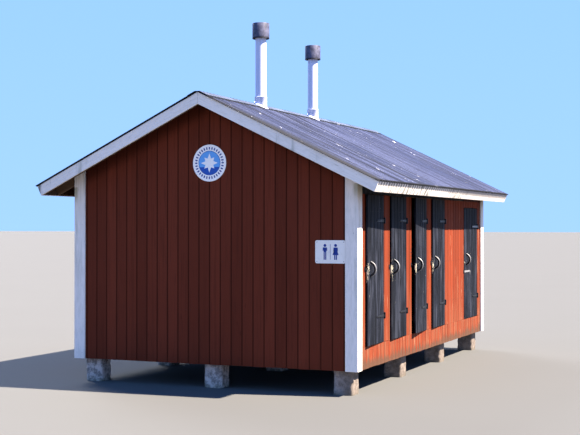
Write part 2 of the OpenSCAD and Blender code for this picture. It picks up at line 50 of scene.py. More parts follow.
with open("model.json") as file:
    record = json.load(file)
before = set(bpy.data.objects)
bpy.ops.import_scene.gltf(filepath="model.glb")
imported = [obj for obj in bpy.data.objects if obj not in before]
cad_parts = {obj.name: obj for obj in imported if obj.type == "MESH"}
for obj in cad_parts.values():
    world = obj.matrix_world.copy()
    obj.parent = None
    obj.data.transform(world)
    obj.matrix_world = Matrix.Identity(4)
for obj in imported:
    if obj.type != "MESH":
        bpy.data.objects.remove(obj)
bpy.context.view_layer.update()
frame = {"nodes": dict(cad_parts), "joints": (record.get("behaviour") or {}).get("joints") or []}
UP = Vector((0, 0, 1))
BODY = "building"
DOOR_NAMES = ["door_1", "door_2", "door_3", "door_4", "door_5"]
SIDES = {"right": 1, "left": -1}
# Turns a lathed shape from Z to -Y, the way that a panel faces, and from there to the door side
TO_FRONT = Matrix.Rotation(math.pi / 2, 4, "X")
TO_DOOR_SIDE = Matrix.Rotation(math.pi / 2, 4, "Z")
# Slope of the doors whose free edges stand a little off the frame
STAND_OFF = {"door_1": 0.020, "door_2": 0.030, "door_4": 0.030}
# How far from its hinge's axis a door begins to stand off
STAND_OFF_FROM = 0.06


def steepest_face(node):
    """The normal of the largest face of a node."""
    return max(frame["nodes"][node].data.polygons, key=lambda p: p.area).normal.copy()


# Places of the walls and the roof, from the frame
GABLE_LOW, GABLE_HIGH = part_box("front_wall")
FRONT_Y = GABLE_LOW.y
REAR_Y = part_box("rear_wall")[1].y
FACE_X = GABLE_HIGH.x
WALL_Z = GABLE_LOW.z
RIDGE_Z = GABLE_HIGH.z
BOARD_T = GABLE_HIGH.y - GABLE_LOW.y
ROOF_NORMAL = steepest_face("right_roof_boards")
PITCH = math.atan2(abs(ROOF_NORMAL.x), abs(ROOF_NORMAL.z))
SLOPE = math.tan(PITCH)
SHEET_LOW, SHEET_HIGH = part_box("right_roof_sheets")
CAP_LOW, CAP_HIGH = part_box("ridge_cap")


# Nodes


class Socket:
    """A socket of a node tree. Arithmetic on it adds the Math nodes that work it out."""

    def __init__(self, tree, socket):
        self.tree = tree
        self.socket = socket

    def __add__(self, other):
        return self.tree.math("ADD", self, other)

    def __sub__(self, other):
        return self.tree.math("SUBTRACT", self, other)

    def __rsub__(self, other):
        return self.tree.math("SUBTRACT", other, self)

    def __mul__(self, other):
        return self.tree.math("MULTIPLY", self, other)

    def __truediv__(self, other):
        return self.tree.math("DIVIDE", self, other)

    def __rtruediv__(self, other):
        return self.tree.math("DIVIDE", other, self)

    __radd__ = __add__
    __rmul__ = __mul__


class Tree:
    """A node tree that is being made."""

    def __init__(self, tree):
        self.tree = tree

    def node(self, kind, settings=None, inputs=None, output=None):
        """Adds a node: its settings first, then the values or links of its sockets by name."""
        made = self.tree.nodes.new(kind)
        for name, value in (settings or {}).items():
            setattr(made, name, value)
        for name, value in (inputs or {}).items():
            self.put(self._find(made.inputs, name), value)
        return Socket(self, self._find(made.outputs, output))

    def put(self, socket, value):
        """Links a socket to a value, or sets it."""
        if isinstance(value, Socket):
            self.tree.links.new(value.socket, socket)
        elif value is not None:
            socket.default_value = value

    def math(self, operation, *values):
        """A Math node on one, two or three numbers."""
        made = self.tree.nodes.new("ShaderNodeMath")
        made.operation = operation
        for socket, value in zip(made.inputs, values):
            self.put(socket, value)
        return Socket(self, made.outputs[0])

    def vector(self, x, y, z):
        """Three numbers as one vector."""
        return self.node("ShaderNodeCombineXYZ", None, {"X": x, "Y": y, "Z": z})

    def parts(self, vector):
        """The three numbers of a vector."""
        made = self.node("ShaderNodeSeparateXYZ", None, {"Vector": vector}, "X")
        return [Socket(self, made.socket.node.outputs[axis]) for axis in "XYZ"]

    def span(self, value, low, high, to_low=0.0, to_high=1.0):
        """A number taken smoothly from one range to another and held at its ends."""
        ends = {"From Min": low, "From Max": high, "To Min": to_low, "To Max": to_high}
        return self.node("ShaderNodeMapRange", {"interpolation_type": "SMOOTHSTEP"},
                         {"Value": value, **ends}, "Result")

    def _find(self, sockets, name):
        """The socket in use that has a name, or the first in use."""
        return next(s for s in sockets if s.enabled and name in (None, s.name))


class Rule(Tree):
    """A Geometry Nodes tree with named inputs: its geometry, its sizes and its finish."""

    def __init__(self, name, numbers, counts=()):
        group = bpy.data.node_groups.new(name, "GeometryNodeTree")
        super().__init__(group)
        face = group.interface
        face.new_socket("Geometry", in_out="INPUT", socket_type="NodeSocketGeometry")
        for label in numbers:
            face.new_socket(label, in_out="INPUT", socket_type="NodeSocketFloat")
        for label in [*counts, "Seed"]:
            face.new_socket(label, in_out="INPUT", socket_type="NodeSocketInt")
        face.new_socket("Finish", in_out="INPUT", socket_type="NodeSocketMaterial")
        face.new_socket("Geometry", in_out="OUTPUT", socket_type="NodeSocketGeometry")
        self.given = self.tree.nodes.new("NodeGroupInput")

    def __getitem__(self, name):
        return Socket(self, self.given.outputs[name])

    def position(self):
        """The X, Y and Z of each point."""
        return self.parts(self.node("GeometryNodeInputPosition"))

    def index(self):
        """The number of each point."""
        return self.node("GeometryNodeInputIndex")

    def random(self, low, high, salt, of=None):
        """A random number, the same for each run and each number that it is of."""
        given = {"Min": low, "Max": high, "ID": of or self.index(), "Seed": self["Seed"] + salt}
        return self.node("FunctionNodeRandomValue", {"data_type": "FLOAT"}, given)

    def points(self, count, x, y, z):
        """Points at the places that three fields give."""
        return self.node("GeometryNodePoints", None,
                         {"Count": count, "Position": self.vector(x, y, z)})

    def keep(self, geometry, name, value):
        """Stores a number on each point under a name."""
        return self.node(
            "GeometryNodeStoreNamedAttribute",
            {"data_type": "FLOAT", "domain": "POINT"},
            {"Geometry": geometry, "Name": name, "Value": value},
        )

    def kept(self, name):
        """The number that was stored under a name."""
        return self.node("GeometryNodeInputNamedAttribute", {"data_type": "FLOAT"}, {"Name": name})

    def copies(self, points, scale=None, rotation=None):
        """The given geometry on each point, as real mesh."""
        given = {"Points": points, "Instance": self["Geometry"], "Scale": scale,
                 "Rotation": rotation}
        copied = self.node("GeometryNodeInstanceOnPoints", None, given)
        return self.node("GeometryNodeRealizeInstances", None, {"Geometry": copied})

    def move(self, geometry, x, y, z):
        """Puts each point at a new place."""
        return self.node("GeometryNodeSetPosition", None,
                         {"Geometry": geometry, "Position": self.vector(x, y, z)})

    def close(self, geometry):
        """Ends the tree: real mesh with its finish on it."""
        real = self.node("GeometryNodeRealizeInstances", None, {"Geometry": geometry})
        done = self.node("GeometryNodeSetMaterial", None,
                         {"Geometry": real, "Material": self["Finish"]})
        end = self.tree.nodes.new("NodeGroupOutput")
        self.put(end.inputs["Geometry"], done)
        return self.tree


@cache
def board_run():
    """Boards side by side along X. The run cuts the first and last, and a slope cuts the tops."""
    rule = Rule("Board run",
                ["From", "To", "Pitch", "Phase", "Base", "Apex", "Slope", "Push", "Ragged"])
    first = rule.math("FLOOR", (rule["From"] - rule["Phase"]) / rule["Pitch"])
    last = rule.math("CEIL", (rule["To"] - rule["Phase"]) / rule["Pitch"])
    line = rule["Phase"] + (first + rule.index()) * rule["Pitch"]
    left = rule.math("MAXIMUM", rule["From"], line)
    right = rule.math("MINIMUM", rule["To"], line + rule["Pitch"])
    push = rule.random(0.0, rule["Push"], 1)
    points = rule.points(last - first, (left + right) * 0.5, push, 0.0)
    points = rule.keep(points, "tone", rule.random(0.0, 1.0, 2))
    points = rule.keep(points, "cut", rule.random(0.0, rule["Ragged"], 3))
    boards = rule.copies(points, rule.vector((right - left) / rule["Pitch"], 1.0, 1.0))
    x, y, share = rule.position()
    bottom = rule["Base"] + rule.kept("cut")
    top = rule["Apex"] - rule["Slope"] * rule.math("ABSOLUTE", x)
    return rule.close(rule.move(boards, x, y, bottom + share * (top - bottom)))


@cache
def fastener_grid():
    """Fasteners in rows in the XZ plane, a little out of line, and none above the slope."""
    rule = Rule("Fastener grid",
                ["From", "Pitch", "Base", "Row pitch", "Apex", "Slope", "Nudge"],
                ["Columns", "Rows"])
    row = rule.math("FLOOR", rule.index() / rule["Columns"])
    column = rule.index() - row * rule["Columns"]
    nudge = [rule.random(-1.0, 1.0, salt) * rule["Nudge"] for salt in (1, 2)]
    points = rule.points(
        rule["Columns"] * rule["Rows"],
        rule["From"] + column * rule["Pitch"] + nudge[0],
        0.0,
        rule["Base"] + row * rule["Row pitch"] + nudge[1],
    )
    x, _, z = rule.position()
    verge = rule["Apex"] - rule["Slope"] * rule.math("ABSOLUTE", x)
    over = rule.math("GREATER_THAN", z, verge)
    points = rule.node("GeometryNodeDeleteGeometry", {"domain": "POINT"},
                       {"Geometry": points, "Selection": over})
    points = rule.keep(points, "tone", rule.random(0.0, 1.0, 3))
    turn = rule.vector(0.0, rule.random(0.0, math.tau, 4), 0.0)
    return rule.close(rule.copies(points, rotation=turn))


@cache
def ring_of_marks():
    """Marks at equal steps round a circle in the XZ plane, each turned to face the middle."""
    rule = Rule("Ring of marks", ["Radius"], ["Count"])
    angle = rule.index() * math.tau / rule["Count"]
    x = rule.math("SINE", angle) * rule["Radius"]
    z = rule.math("COSINE", angle) * rule["Radius"]
    points = rule.points(rule["Count"], x, 0.0, z)
    return rule.close(rule.copies(points, rotation=rule.vector(0.0, angle, 0.0)))


@cache
def corrugated_sheets():
    """Roofing: X runs down the slope, and the wave runs along Y in sheets that lap each other."""
    rule = Rule("Corrugated sheets",
                ["Length", "Width", "Wave pitch", "Wave depth", "Cover", "Lap", "Ragged", "Dent"])
    points_per_wave = 14
    points_down = 26
    # Puts a point that lies on a lap in the later of the two sheets
    past_lap = 0.001
    across = rule["Width"] / rule["Wave pitch"] * points_per_wave + 1
    grid = rule.node("GeometryNodeMeshGrid", None,
                     {"Size X": rule["Length"], "Size Y": rule["Width"],
                      "Vertices X": points_down, "Vertices Y": across}, "Mesh")
    x, y, _ = rule.position()
    down = x + rule["Length"] * 0.5
    along = y + rule["Width"] * 0.5
    sheet = rule.math("FLOOR", along / rule["Cover"] + past_lap)
    within = along / rule["Cover"] - sheet
    grid = rule.keep(grid, "tone", rule.random(0.0, 1.0, 1, sheet))
    down = down * (1 - rule.random(0.0, rule["Ragged"], 2, sheet) / rule["Length"])
    wave = (1 - rule.math("COSINE", along * math.tau / rule["Wave pitch"])) * 0.5
    grid = rule.keep(grid, "wave", wave)
    dent = rule.node("ShaderNodeTexNoise", None,
                     {"Vector": rule.vector(down, along, 0.0), "Scale": 2.3, "Detail": 3.0}, "Fac")
    height = wave * rule["Wave depth"] - (1 - dent) * rule["Dent"] - within * rule["Lap"]
    return rule.close(rule.move(grid, down, along, height))


def grow(rule, unit, finish_name, seed, sizes):
    """Runs a Geometry Nodes tree on a unit mesh and returns the plain mesh that it makes."""
    holder = bpy.data.objects.new("holder", unit)
    bpy.context.scene.collection.objects.link(holder)
    modifier = holder.modifiers.new("rule", "NODES")
    modifier.node_group = rule
    inputs = {i.name: i.identifier for i in rule.interface.items_tree if i.in_out == "INPUT"}
    for name, value in {**sizes, "Seed": seed, "Finish": finish(finish_name)}.items():
        modifier[inputs[name]] = value
    depsgraph = bpy.context.evaluated_depsgraph_get()
    made = bpy.data.meshes.new_from_object(holder.evaluated_get(depsgraph), depsgraph=depsgraph)
    holder.modifiers.remove(modifier)
    bpy.data.objects.remove(holder)
    return made


def lay_boards(unit, finish_name, seed, run, ends, pitch, phase=0.0, slope=0.0, push=0.0,
               ragged=0.0):
    """Boards side by side over a run along X, with their ends at two heights."""
    return grow(board_run(), unit, finish_name, seed,
                {"From": run[0], "To": run[1], "Pitch": pitch, "Phase": phase, "Base": ends[0],
                 "Apex": ends[1], "Slope": slope, "Push": push, "Ragged": ragged})


def lay_fasteners(head, finish_name, seed, columns, rows, nudge, apex, slope=0.0):
    """Heads in columns and rows, which each give the first place, the step and the count."""
    return grow(fastener_grid(), head, finish_name, seed,
                {"From": columns[0], "Pitch": columns[1], "Columns": columns[2],
                 "Base": rows[0], "Row pitch": rows[1], "Rows": rows[2],
                 "Apex": apex, "Slope": slope, "Nudge": nudge})


# Meshes


def placed(origin, inward, up=UP):
    """A matrix from a panel's own axes, X along it, Y into it and Z up it, to its place."""
    inward = Vector(inward).normalized()
    up = Vector(up).normalized()
    across = inward.cross(up)
    turn = Matrix((across, inward, up)).transposed()
    return Matrix.Translation(origin) @ turn.to_4x4()


def from_bmesh(bm, name="part"):
    """A mesh from a bmesh, which is freed."""
    mesh = bpy.data.meshes.new(name)
    bm.to_mesh(mesh)
    bm.free()
    return mesh


@contextmanager
def opened(mesh):
    """A bmesh of a mesh. The mesh takes its changes at the end."""
    bm = bmesh.new()
    bm.from_mesh(mesh)
    yield bm
    bm.to_mesh(mesh)
    bm.free()


def add_prism(bm, near, far):
    """Adds a solid between two flat outlines that have as many corners each."""
    near = [bm.verts.new(corner) for corner in near]
    far = [bm.verts.new(corner) for corner in far]
    bm.faces.new(near)
    bm.faces.new(reversed(far))
    for k in range(len(near)):
        after = (k + 1) % len(near)
        bm.faces.new((near[after], near[k], far[k], far[after]))


def prism(outline, y_low, y_high):
    """A solid with a flat outline of X, Z points, from one depth to another."""
    bm = bmesh.new()
    add_prism(bm, [(x, y_low, z) for x, z in outline], [(x, y_high, z) for x, z in outline])
    bmesh.ops.recalc_face_normals(bm, faces=bm.faces)
    return from_bmesh(bm)


def bridge(bm, here, there, closed=True):
    """Adds the faces between two rows of corners."""
    for k in range(len(here) if closed else len(here) - 1):
        after = (k + 1) % len(here)
        bm.faces.new((here[k], there[k], there[after], here[after]))


def thickened(bm, thickness):
    """A mesh from a sheet in a bmesh: its top stays, and the thickness goes under it."""
    bmesh.ops.recalc_face_normals(bm, faces=bm.faces)
    if sum(f.normal.z * f.calc_area() for f in bm.faces) < 0:
        bmesh.ops.reverse_faces(bm, faces=bm.faces)
    bmesh.ops.solidify(bm, geom=bm.faces, thickness=thickness)
    bmesh.ops.recalc_face_normals(bm, faces=bm.faces)
    return from_bmesh(bm)


def board_unit(pitch, thickness, gap, chamfer, lip):
    """One board of unit height: a face with eased edges, and a wider back behind the joint."""
    half = pitch / 2
    face = half - gap / 2
    section = [
        (-face + chamfer, 0), (face - chamfer, 0), (face, chamfer), (face, lip), (half, lip),
        (half, thickness), (-half, thickness), (-half, lip), (-face, lip), (-face, chamfer),
    ]
    bm = bmesh.new()
    low = [bm.verts.new((x, y, 0)) for x, y in section]
    high = [bm.verts.new((x, y, 1)) for x, y in section]
    bm.faces.new(reversed(low))
    bm.faces.new(high)
    for k in range(len(section)):
        after = (k + 1) % len(section)
        bm.faces.new((low[k], low[after], high[after], high[k]))
    bmesh.ops.recalc_face_normals(bm, faces=bm.faces)
    return from_bmesh(bm)


def lathe(profile, steps=96, closed=True):
    """A turned shape round Z. A profile that is not closed starts and ends on the axis."""
    bm = bmesh.new()
    rings = []
    for step in range(steps):
        x, y = math.cos(math.tau * step / steps), math.sin(math.tau * step / steps)
        rings.append([bm.verts.new((r * x, r * y, z)) for r, z in profile])
    for here, there in zip(rings, rings[1:] + rings[:1]):
        bridge(bm, here, there, closed)
    bmesh.ops.remove_doubles(bm, verts=bm.verts, dist=1e-6)
    bmesh.ops.recalc_face_normals(bm, faces=bm.faces)
    return from_bmesh(bm)


def joined(meshes):
    """One mesh from several, each with its materials in order."""
    bm = bmesh.new()
    finishes = []
    for mesh in meshes:
        first_face = len(bm.faces)
        bm.from_mesh(mesh)
        bm.faces.ensure_lookup_table()
        for face in bm.faces[first_face:]:
            own = mesh.materials[face.material_index] if len(mesh.materials) else None
            if own not in finishes:
                finishes.append(own)
            face.material_index = finishes.index(own)
    made = from_bmesh(bm)
    for own in finishes:
        made.materials.append(own)
    return made


def moved(mesh, matrix):
    """The mesh at another place."""
    mesh.transform(matrix)
    return mesh


def painted(mesh, *names):
    """The mesh with its finishes by name. A face shows the first unless it says another."""
    if len(mesh.materials):
        # This also sets each face back to the first finish
        mesh.materials.clear()
    for name in names:
        mesh.materials.append(finish(name))
    return mesh


def islands(bm):
    """The separate solids of a bmesh, each as a list of its faces, in the order of their places."""
    left = set(bm.faces)
    found = []
    while left:
        front = [left.pop()]
        solid = []
        while front:
            face = front.pop()
            solid.append(face)
            for other in (o for edge in face.edges for o in edge.link_faces):
                if other in left:
                    left.discard(other)
                    front.append(other)
        found.append(solid)
    return sorted(found, key=lambda solid: tuple(round(c, 4) for c in solid_middle(solid)))


def solid_middle(solid):
    """The middle of a solid's corners."""
    corners = [v.co for face in solid for v in face.verts]
    return sum(corners, Vector()) / len(corners)


def box_of(points):
    """The lowest and the highest corner of the box round some points."""
    points = list(points)
    return Vector(map(min, zip(*points))), Vector(map(max, zip(*points)))


def solid_box(solid):
    """The box round a solid."""
    return box_of(v.co for face in solid for v in face.verts)


def with_grain(mesh, seed):
    """Lays a map on each face, U along its longest edge, and gives each solid its own tone."""
    with opened(mesh) as bm:
        uv = bm.loops.layers.uv.get("grain") or bm.loops.layers.uv.new("grain")
        tone = bm.verts.layers.float.get("tone") or bm.verts.layers.float.new("tone")
        rng = np.random.default_rng(seed)
        for solid in islands(bm):
            own_tone = rng.random()
            shift = rng.random() * 9
            for face in solid:
                longest = max(face.edges, key=lambda e: e.calc_length())
                along = (longest.verts[1].co - longest.verts[0].co).normalized()
                if along[max(range(3), key=lambda a: abs(along[a]))] < 0:
                    along = -along
                across = face.normal.cross(along)
                for loop in face.loops:
                    place = loop.vert.co
                    loop[uv].uv = (place.dot(along) + shift, place.dot(across) + shift)
                    loop.vert[tone] = own_tone
    return mesh


def merged_copy(node):
    """A bmesh of a node's solids with their triangles joined up into flat faces."""
    bm = bmesh.new()
    bm.from_mesh(frame["nodes"][node].data)
    bmesh.ops.remove_doubles(bm, verts=bm.verts, dist=1e-5)
    bmesh.ops.dissolve_limit(bm, angle_limit=math.radians(1), verts=bm.verts, edges=bm.edges)
    return bm


def solid_boxes(node):
    """The box round each separate solid of a node."""
    bm = merged_copy(node)
    boxes = [solid_box(solid) for solid in islands(bm)]
    bm.free()
    return boxes


def eased(node, width):
    """A copy of a node with its sharp edges bevelled."""
    bm = merged_copy(node)
    limit = math.radians(35)
    sharp = [e for e in bm.edges if len(e.link_faces) == 2 and e.calc_face_angle(0) > limit]
    bmesh.ops.bevel(bm, geom=sharp, offset=width, segments=1, affect="EDGES", clamp_overlap=True)
    return from_bmesh(bm, node)


def add_piece(name, mesh, body=BODY, stands_for=(), smooth_under=40, grain=None):
    """Adds a finished piece to the scene, on its body."""
    if grain is not None:
        with_grain(mesh, grain)
    mesh.shade_smooth()
    mesh.set_sharp_from_angle(angle=math.radians(smooth_under))
    mesh.name = name
    piece = bpy.data.objects.new(name, mesh)
    bpy.context.scene.collection.objects.link(piece)
    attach(piece, body)
    if stands_for:
        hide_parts(*stands_for)
    return piece


def dome(radius, height):
    """A low domed head of a nail or bolt that stands out towards -Y."""
    profile = [(0.0, 0.0), (radius, 0.0), (radius * 0.92, height * 0.55),
               (radius * 0.55, height * 0.9), (0.0, height)]
    return moved(lathe(profile, 10, closed=False), TO_FRONT)


# Finishes


class Finish(Tree):
    """A material that is being made."""

    def __init__(self, name):
        self.material = bpy.data.materials.new(name)
        self.material.use_nodes = True
        super().__init__(self.material.node_tree)
        self.tree.nodes.clear()
        self.shader = self.tree.nodes.new("ShaderNodeBsdfPrincipled")
        end = self.tree.nodes.new("ShaderNodeOutputMaterial")
        self.tree.links.new(self.shader.outputs["BSDF"], end.inputs["Surface"])

    def place(self):
        """The place of each point in the row frame."""
        return self.node("ShaderNodeTexCoord", None, None, "Object")

    def position(self):
        """The X, Y and Z of each point in the row frame."""
        return self.parts(self.place())

    def stored(self, name):
        """The number that each point or face bears under a name."""
        return self.node("ShaderNodeAttribute", {"attribute_name": name}, None, "Fac")

    def grain(self, along, across):
        """The map of the grain, stretched, with a tone of its own for each board."""
        u, v, _ = self.parts(self.node("ShaderNodeUVMap", {"uv_map": "grain"}))
        return self.vector(u * along, v * across, self.tone() * 40)

    def tone(self):
        """A number from 0 to 1 that is the same all over one board or sheet."""
        return self.stored("tone")

    def noise(self, vector, scale=1.0, detail=4.0, rough=0.55):
        """Soft noise from about 0.2 to 0.8."""
        given = {"Vector": vector, "Scale": scale, "Detail": detail, "Roughness": rough}
        return self.node("ShaderNodeTexNoise", None, given, "Fac")

    def knots(self, along, across):
        """The distance from the nearest knot in the grain."""
        given = {"Vector": self.grain(along, across), "Scale": 1.0}
        return self.node("ShaderNodeTexVoronoi", None, given, "Distance")

    def stretched(self, x, y, z):
        """The place of each point, with each axis scaled."""
        px, py, pz = self.position()
        return self.vector(px * x, py * y, pz * z)

    def mix(self, share, low, high):
        """One colour at 0 and another at 1."""
        return self.node("ShaderNodeMix", {"data_type": "RGBA"},
                         {"Factor": share, "A": colour(low), "B": colour(high)}, "Result")

    def ground(self, share, low, high):
        """Starts the colour, between two others."""
        self.base = self.mix(share, low, high)

    def lay(self, share, over):
        """Lays a colour over what is there, by its share."""
        self.base = self.mix(share, self.base, over)

    def bump(self, height, distance, strength=1.0):
        """A normal that follows a height."""
        return self.node("ShaderNodeBump", None,
                         {"Height": height, "Distance": distance, "Strength": strength}, "Normal")

    def pingpong(self, value, half):
        """The distance from the nearest whole step, where a step is twice the half."""
        return self.math("PINGPONG", value, half)

    def done(self, roughness, normal=None, metallic=0.0, specular=0.12):
        """Sets the shader and returns the material."""
        for name, value in {"Specular IOR Level": specular, "Base Color": self.base,
                            "Roughness": roughness, "Metallic": metallic,
                            "Normal": normal}.items():
            self.put(self.shader.inputs[name], value)
        return self.material


def colour(value):
    """A colour with its alpha, or a link as it is."""
    return value if isinstance(value, Socket) else (*value[:3], 1.0)


def shade(value, factor):
    """A colour made lighter or darker."""
    return tuple(min(1.0, c * factor) for c in value[:3])


def painted_boards(s, name, red, axis, fading):
    """Matt red paint on upright boards, dark at their joints, streaked by rain and sun, and painted
    darker as shade under the verges and eaves.
    """
    f = Finish(name)
    pitch = bpy.context.scene.outbuilding_boards.pitch
    fibre = f.noise(f.grain(3.0, 90.0), detail=6.0)
    streak = f.noise(f.grain(0.8, 22.0), detail=4.0)
    cloud = f.noise(f.place(), 1.7, 3.0)
    x, y, z = f.position()
    along = x if axis == "X" else y - FRONT_Y
    joint = f.pingpong(along, pitch / 2)
    f.ground(f.tone() * 0.6 + cloud * 0.4, shade(red, 0.74), shade(red, 1.22))
    f.lay(f.span(streak, 0.5, 0.68) * 0.4, shade(red, 0.6))
    peel = f.span(fibre, 0.54, 0.7) * f.span(streak + cloud * 0.2, 0.56, 0.68)
    lower = f.span(z, 1.9, 0.7)
    f.lay(peel * (lower * 0.7 + 0.3) * fading, s.red_fade)
    f.lay(f.span(fibre, 0.46, 0.3) * 0.45, shade(red, 0.45))
    f.lay(f.span(joint, 0.016, 0.003) * 0.6, shade(red, 0.3))
    splash = f.span(z + cloud * 0.2, WALL_Z + 0.30, WALL_Z + 0.06)
    if axis == "X":
        f.lay(splash * 0.35, shade(red, 0.55))
        # Darker just under the verges: painted shade of the roof's overhang
        under = RIDGE_Z - f.math("ABSOLUTE", x) * SLOPE - z
        f.lay(f.span(under + cloud * 0.08, 0.32, 0.12) * 0.75, shade(red, 0.25))
    else:
        # A near black band at the top of the side walls: painted shade under the eaves
        f.lay(f.span(z, 2.42, 2.44) * 0.85, shade(red, 0.15))
        thin = f.span(streak + fibre * 0.3 - f.span(z, 0.4, 1.7) * 0.12, 0.60, 0.72)
        f.lay(thin * lower * 0.7, s.red_thin)
        flaked = f.span(f.noise(f.grain(1.5, 30.0), detail=4.0) + (fibre - 0.5) * 0.2, 0.66, 0.70)
        f.lay(flaked * 0.75, s.red_flaked)
        f.lay(f.span(splash + (streak - 0.5) * 2.2, 0.2, 0.7) * 0.85, s.mud)
    f.lay(f.span(f.knots(1.3, 6.0), 0.07, 0.02) * 0.5, shade(red, 0.4))
    return f.done(f.span(fibre, 0.3, 0.7, 0.72, 0.92), f.bump(fibre, 0.0012, 0.5),
                  specular=0.06 if axis == "X" else 0.09)


def tarred_boards(s, name, rubbed):
    """Dark stain on door planks, worn along the grain, rubbed bare beside the handle, and painted
    darker higher up as shade under the eave.
    """
    f = Finish(name)
    fibre = f.noise(f.grain(3.0, 150.0), detail=6.0, rough=0.65)
    streak = f.noise(f.grain(2.6, 26.0), detail=4.0)
    broad = f.noise(f.grain(1.3, 10.0), detail=4.0)
    cloud = f.noise(f.place(), 3.1, 3.0)
    _, y, z = f.position()
    f.ground(f.tone() * 0.6 + cloud * 0.4, shade(s.door_black, 0.62), shade(s.door_black, 1.2))
    f.lay(f.span(streak, 0.46, 0.68) * 0.75, s.door_grey)
    f.lay(f.span(broad, 0.53, 0.62) * 0.65, s.door_worn)
    f.lay(f.span(broad, 0.48, 0.41) * 0.85, shade(s.door_black, 0.4))
    pale = f.span(fibre, 0.56, 0.70) * f.span(streak, 0.35, 0.6)
    f.lay(pale * 0.9, shade(s.door_worn, 1.4))
    f.lay(f.span(fibre, 0.46, 0.32) * 0.75, shade(s.door_black, 0.3))
    near_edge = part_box("door_1")[1].y + 0.03
    f.lay(f.span(y, near_edge, near_edge + 0.05) * 0.14, shade(s.door_black, 0.35))
    # Darker on the doors' upper parts: painted shade under the eave
    f.lay(f.span(z + cloud * 0.1, 1.95, 2.2) * 0.3, shade(s.door_black, 0.35))
    if rubbed:
        speck = f.noise(f.grain(16.0, 60.0), detail=4.0)
        bare = f.span(f.stored("rub") + (fibre - 0.5) * 2.4 + (speck - 0.5) * 2.4, 0.82, 0.88)
        wood = f.mix(fibre, shade(s.worn_wood, 0.6), shade(s.worn_wood, 1.25))
        f.lay(bare, wood)
    return f.done(f.span(fibre, 0.3, 0.7, 0.55, 0.85), f.bump(fibre + streak * 0.6, 0.0016, 0.7),
                  specular=0.08)


def white_boards(s):
    """White paint on trim boards: thin, a little dirty, flaked to grey wood in places, and with the
    roofing's shadow painted on the fascias.
    """
    f = Finish("white_boards")
    wave_pitch = bpy.context.scene.outbuilding_roof.wave_pitch
    fibre = f.noise(f.grain(2.5, 70.0), detail=6.0)
    flake = f.noise(f.grain(7.0, 26.0), detail=8.0, rough=0.7)
    cloud = f.noise(f.place(), 2.2, 4.0)
    runs = f.noise(f.stretched(9.0, 14.0, 0.8), detail=3.0)
    places = f.noise(f.stretched(0.7, 0.55, 0.3), detail=1.0)
    f.ground(f.tone() * 0.5 + cloud * 0.5, shade(s.trim_white, 0.93), s.trim_white)
    f.lay(f.span(runs, 0.52, 0.72) * f.span(places, 0.48, 0.62) * 0.6, s.trim_stain)
    f.lay(f.span(fibre, 0.48, 0.34) * 0.16, s.trim_stain)
    bare = f.span(flake + cloud * 0.25, 0.8, 0.84)
    f.lay(bare * 0.7, s.grey_wood)
    x, y, z = f.position()
    side = f.math("ABSOLUTE", x)
    corner = f.span(side, FACE_X - 0.05, FACE_X - 0.01) * f.span(side, FACE_X + 0.1, FACE_X + 0.05)
    corner = corner * f.math("LESS_THAN", z, 2.55)
    f.lay(corner * f.span(z + cloud * 0.3, 2.45, 2.68) * 0.6, s.algae)
    scuff = f.span(flake + (places - 0.5) * 0.5, 0.46, 0.62)
    f.lay(scuff * 0.16, s.trim_stain)
    overhang = FACE_X + 0.25, FACE_X + 0.35
    drip = f.span(side, *overhang) * f.span(runs, 0.50, 0.62) * f.span(places, 0.52, 0.60)
    f.lay(drip * 0.85, shade(s.trim_stain, 0.4))
    # Along the tops of the fascias: the roofing's shadow, painted in teeth under its waves, and
    # grey dirt that reaches lower towards the rear
    verge = SHEET_HIGH.y - 0.04
    eave = f.span(x, *overhang) * f.span(f.math("ABSOLUTE", y), verge, verge - 0.005)
    far = f.span(y + (cloud - 0.5) * 1.5, -0.6, 1.0)
    teeth = f.span(f.pingpong(y - SHEET_LOW.y, wave_pitch / 2) / (wave_pitch / 2), 0.35, 0.65)
    drop = EAVE_TOP - (z - RIDGE_Z) * math.cos(PITCH) - side * math.sin(PITCH)
    reach = 0.040 + far * 0.026 + (cloud - 0.5) * 0.03 + teeth * 0.008
    fascia_shadow_and_dirt = f.span(drop - reach, 0.006, -0.006) * f.math("MAXIMUM", far, teeth * 0.97)
    f.lay(eave * fascia_shadow_and_dirt * (0.95 - far * 0.25), s.eave_shadow_and_dirt)
    return f.done(f.span(fibre, 0.3, 0.7, 0.5, 0.75), f.bump(fibre - bare * 0.8, 0.0010, 0.5))


def bare_timber(s):
    """Unpainted timber, browned by age, with its grain and knots."""
    f = Finish("bare_timber")
    fibre = f.noise(f.grain(2.2, 55.0), detail=6.0)
    figure = f.noise(f.grain(0.7, 9.0), detail=2.0)
    rings = f.math("FRACT", figure * 9)
    f.ground(f.tone() * 0.6 + figure * 0.4, shade(s.bare_wood, 0.75), shade(s.bare_wood, 1.2))
    f.lay(f.span(rings, 0.55, 0.95) * 0.4, shade(s.bare_wood, 0.55))
    f.lay(f.span(fibre, 0.5, 0.3) * 0.5, shade(s.bare_wood, 0.5))
    f.lay(f.span(f.knots(1.6, 7.0), 0.08, 0.03) * 0.8, shade(s.bare_wood, 0.25))
    return f.done(f.span(fibre, 0.3, 0.7, 0.65, 0.85), f.bump(fibre, 0.0015, 0.6))


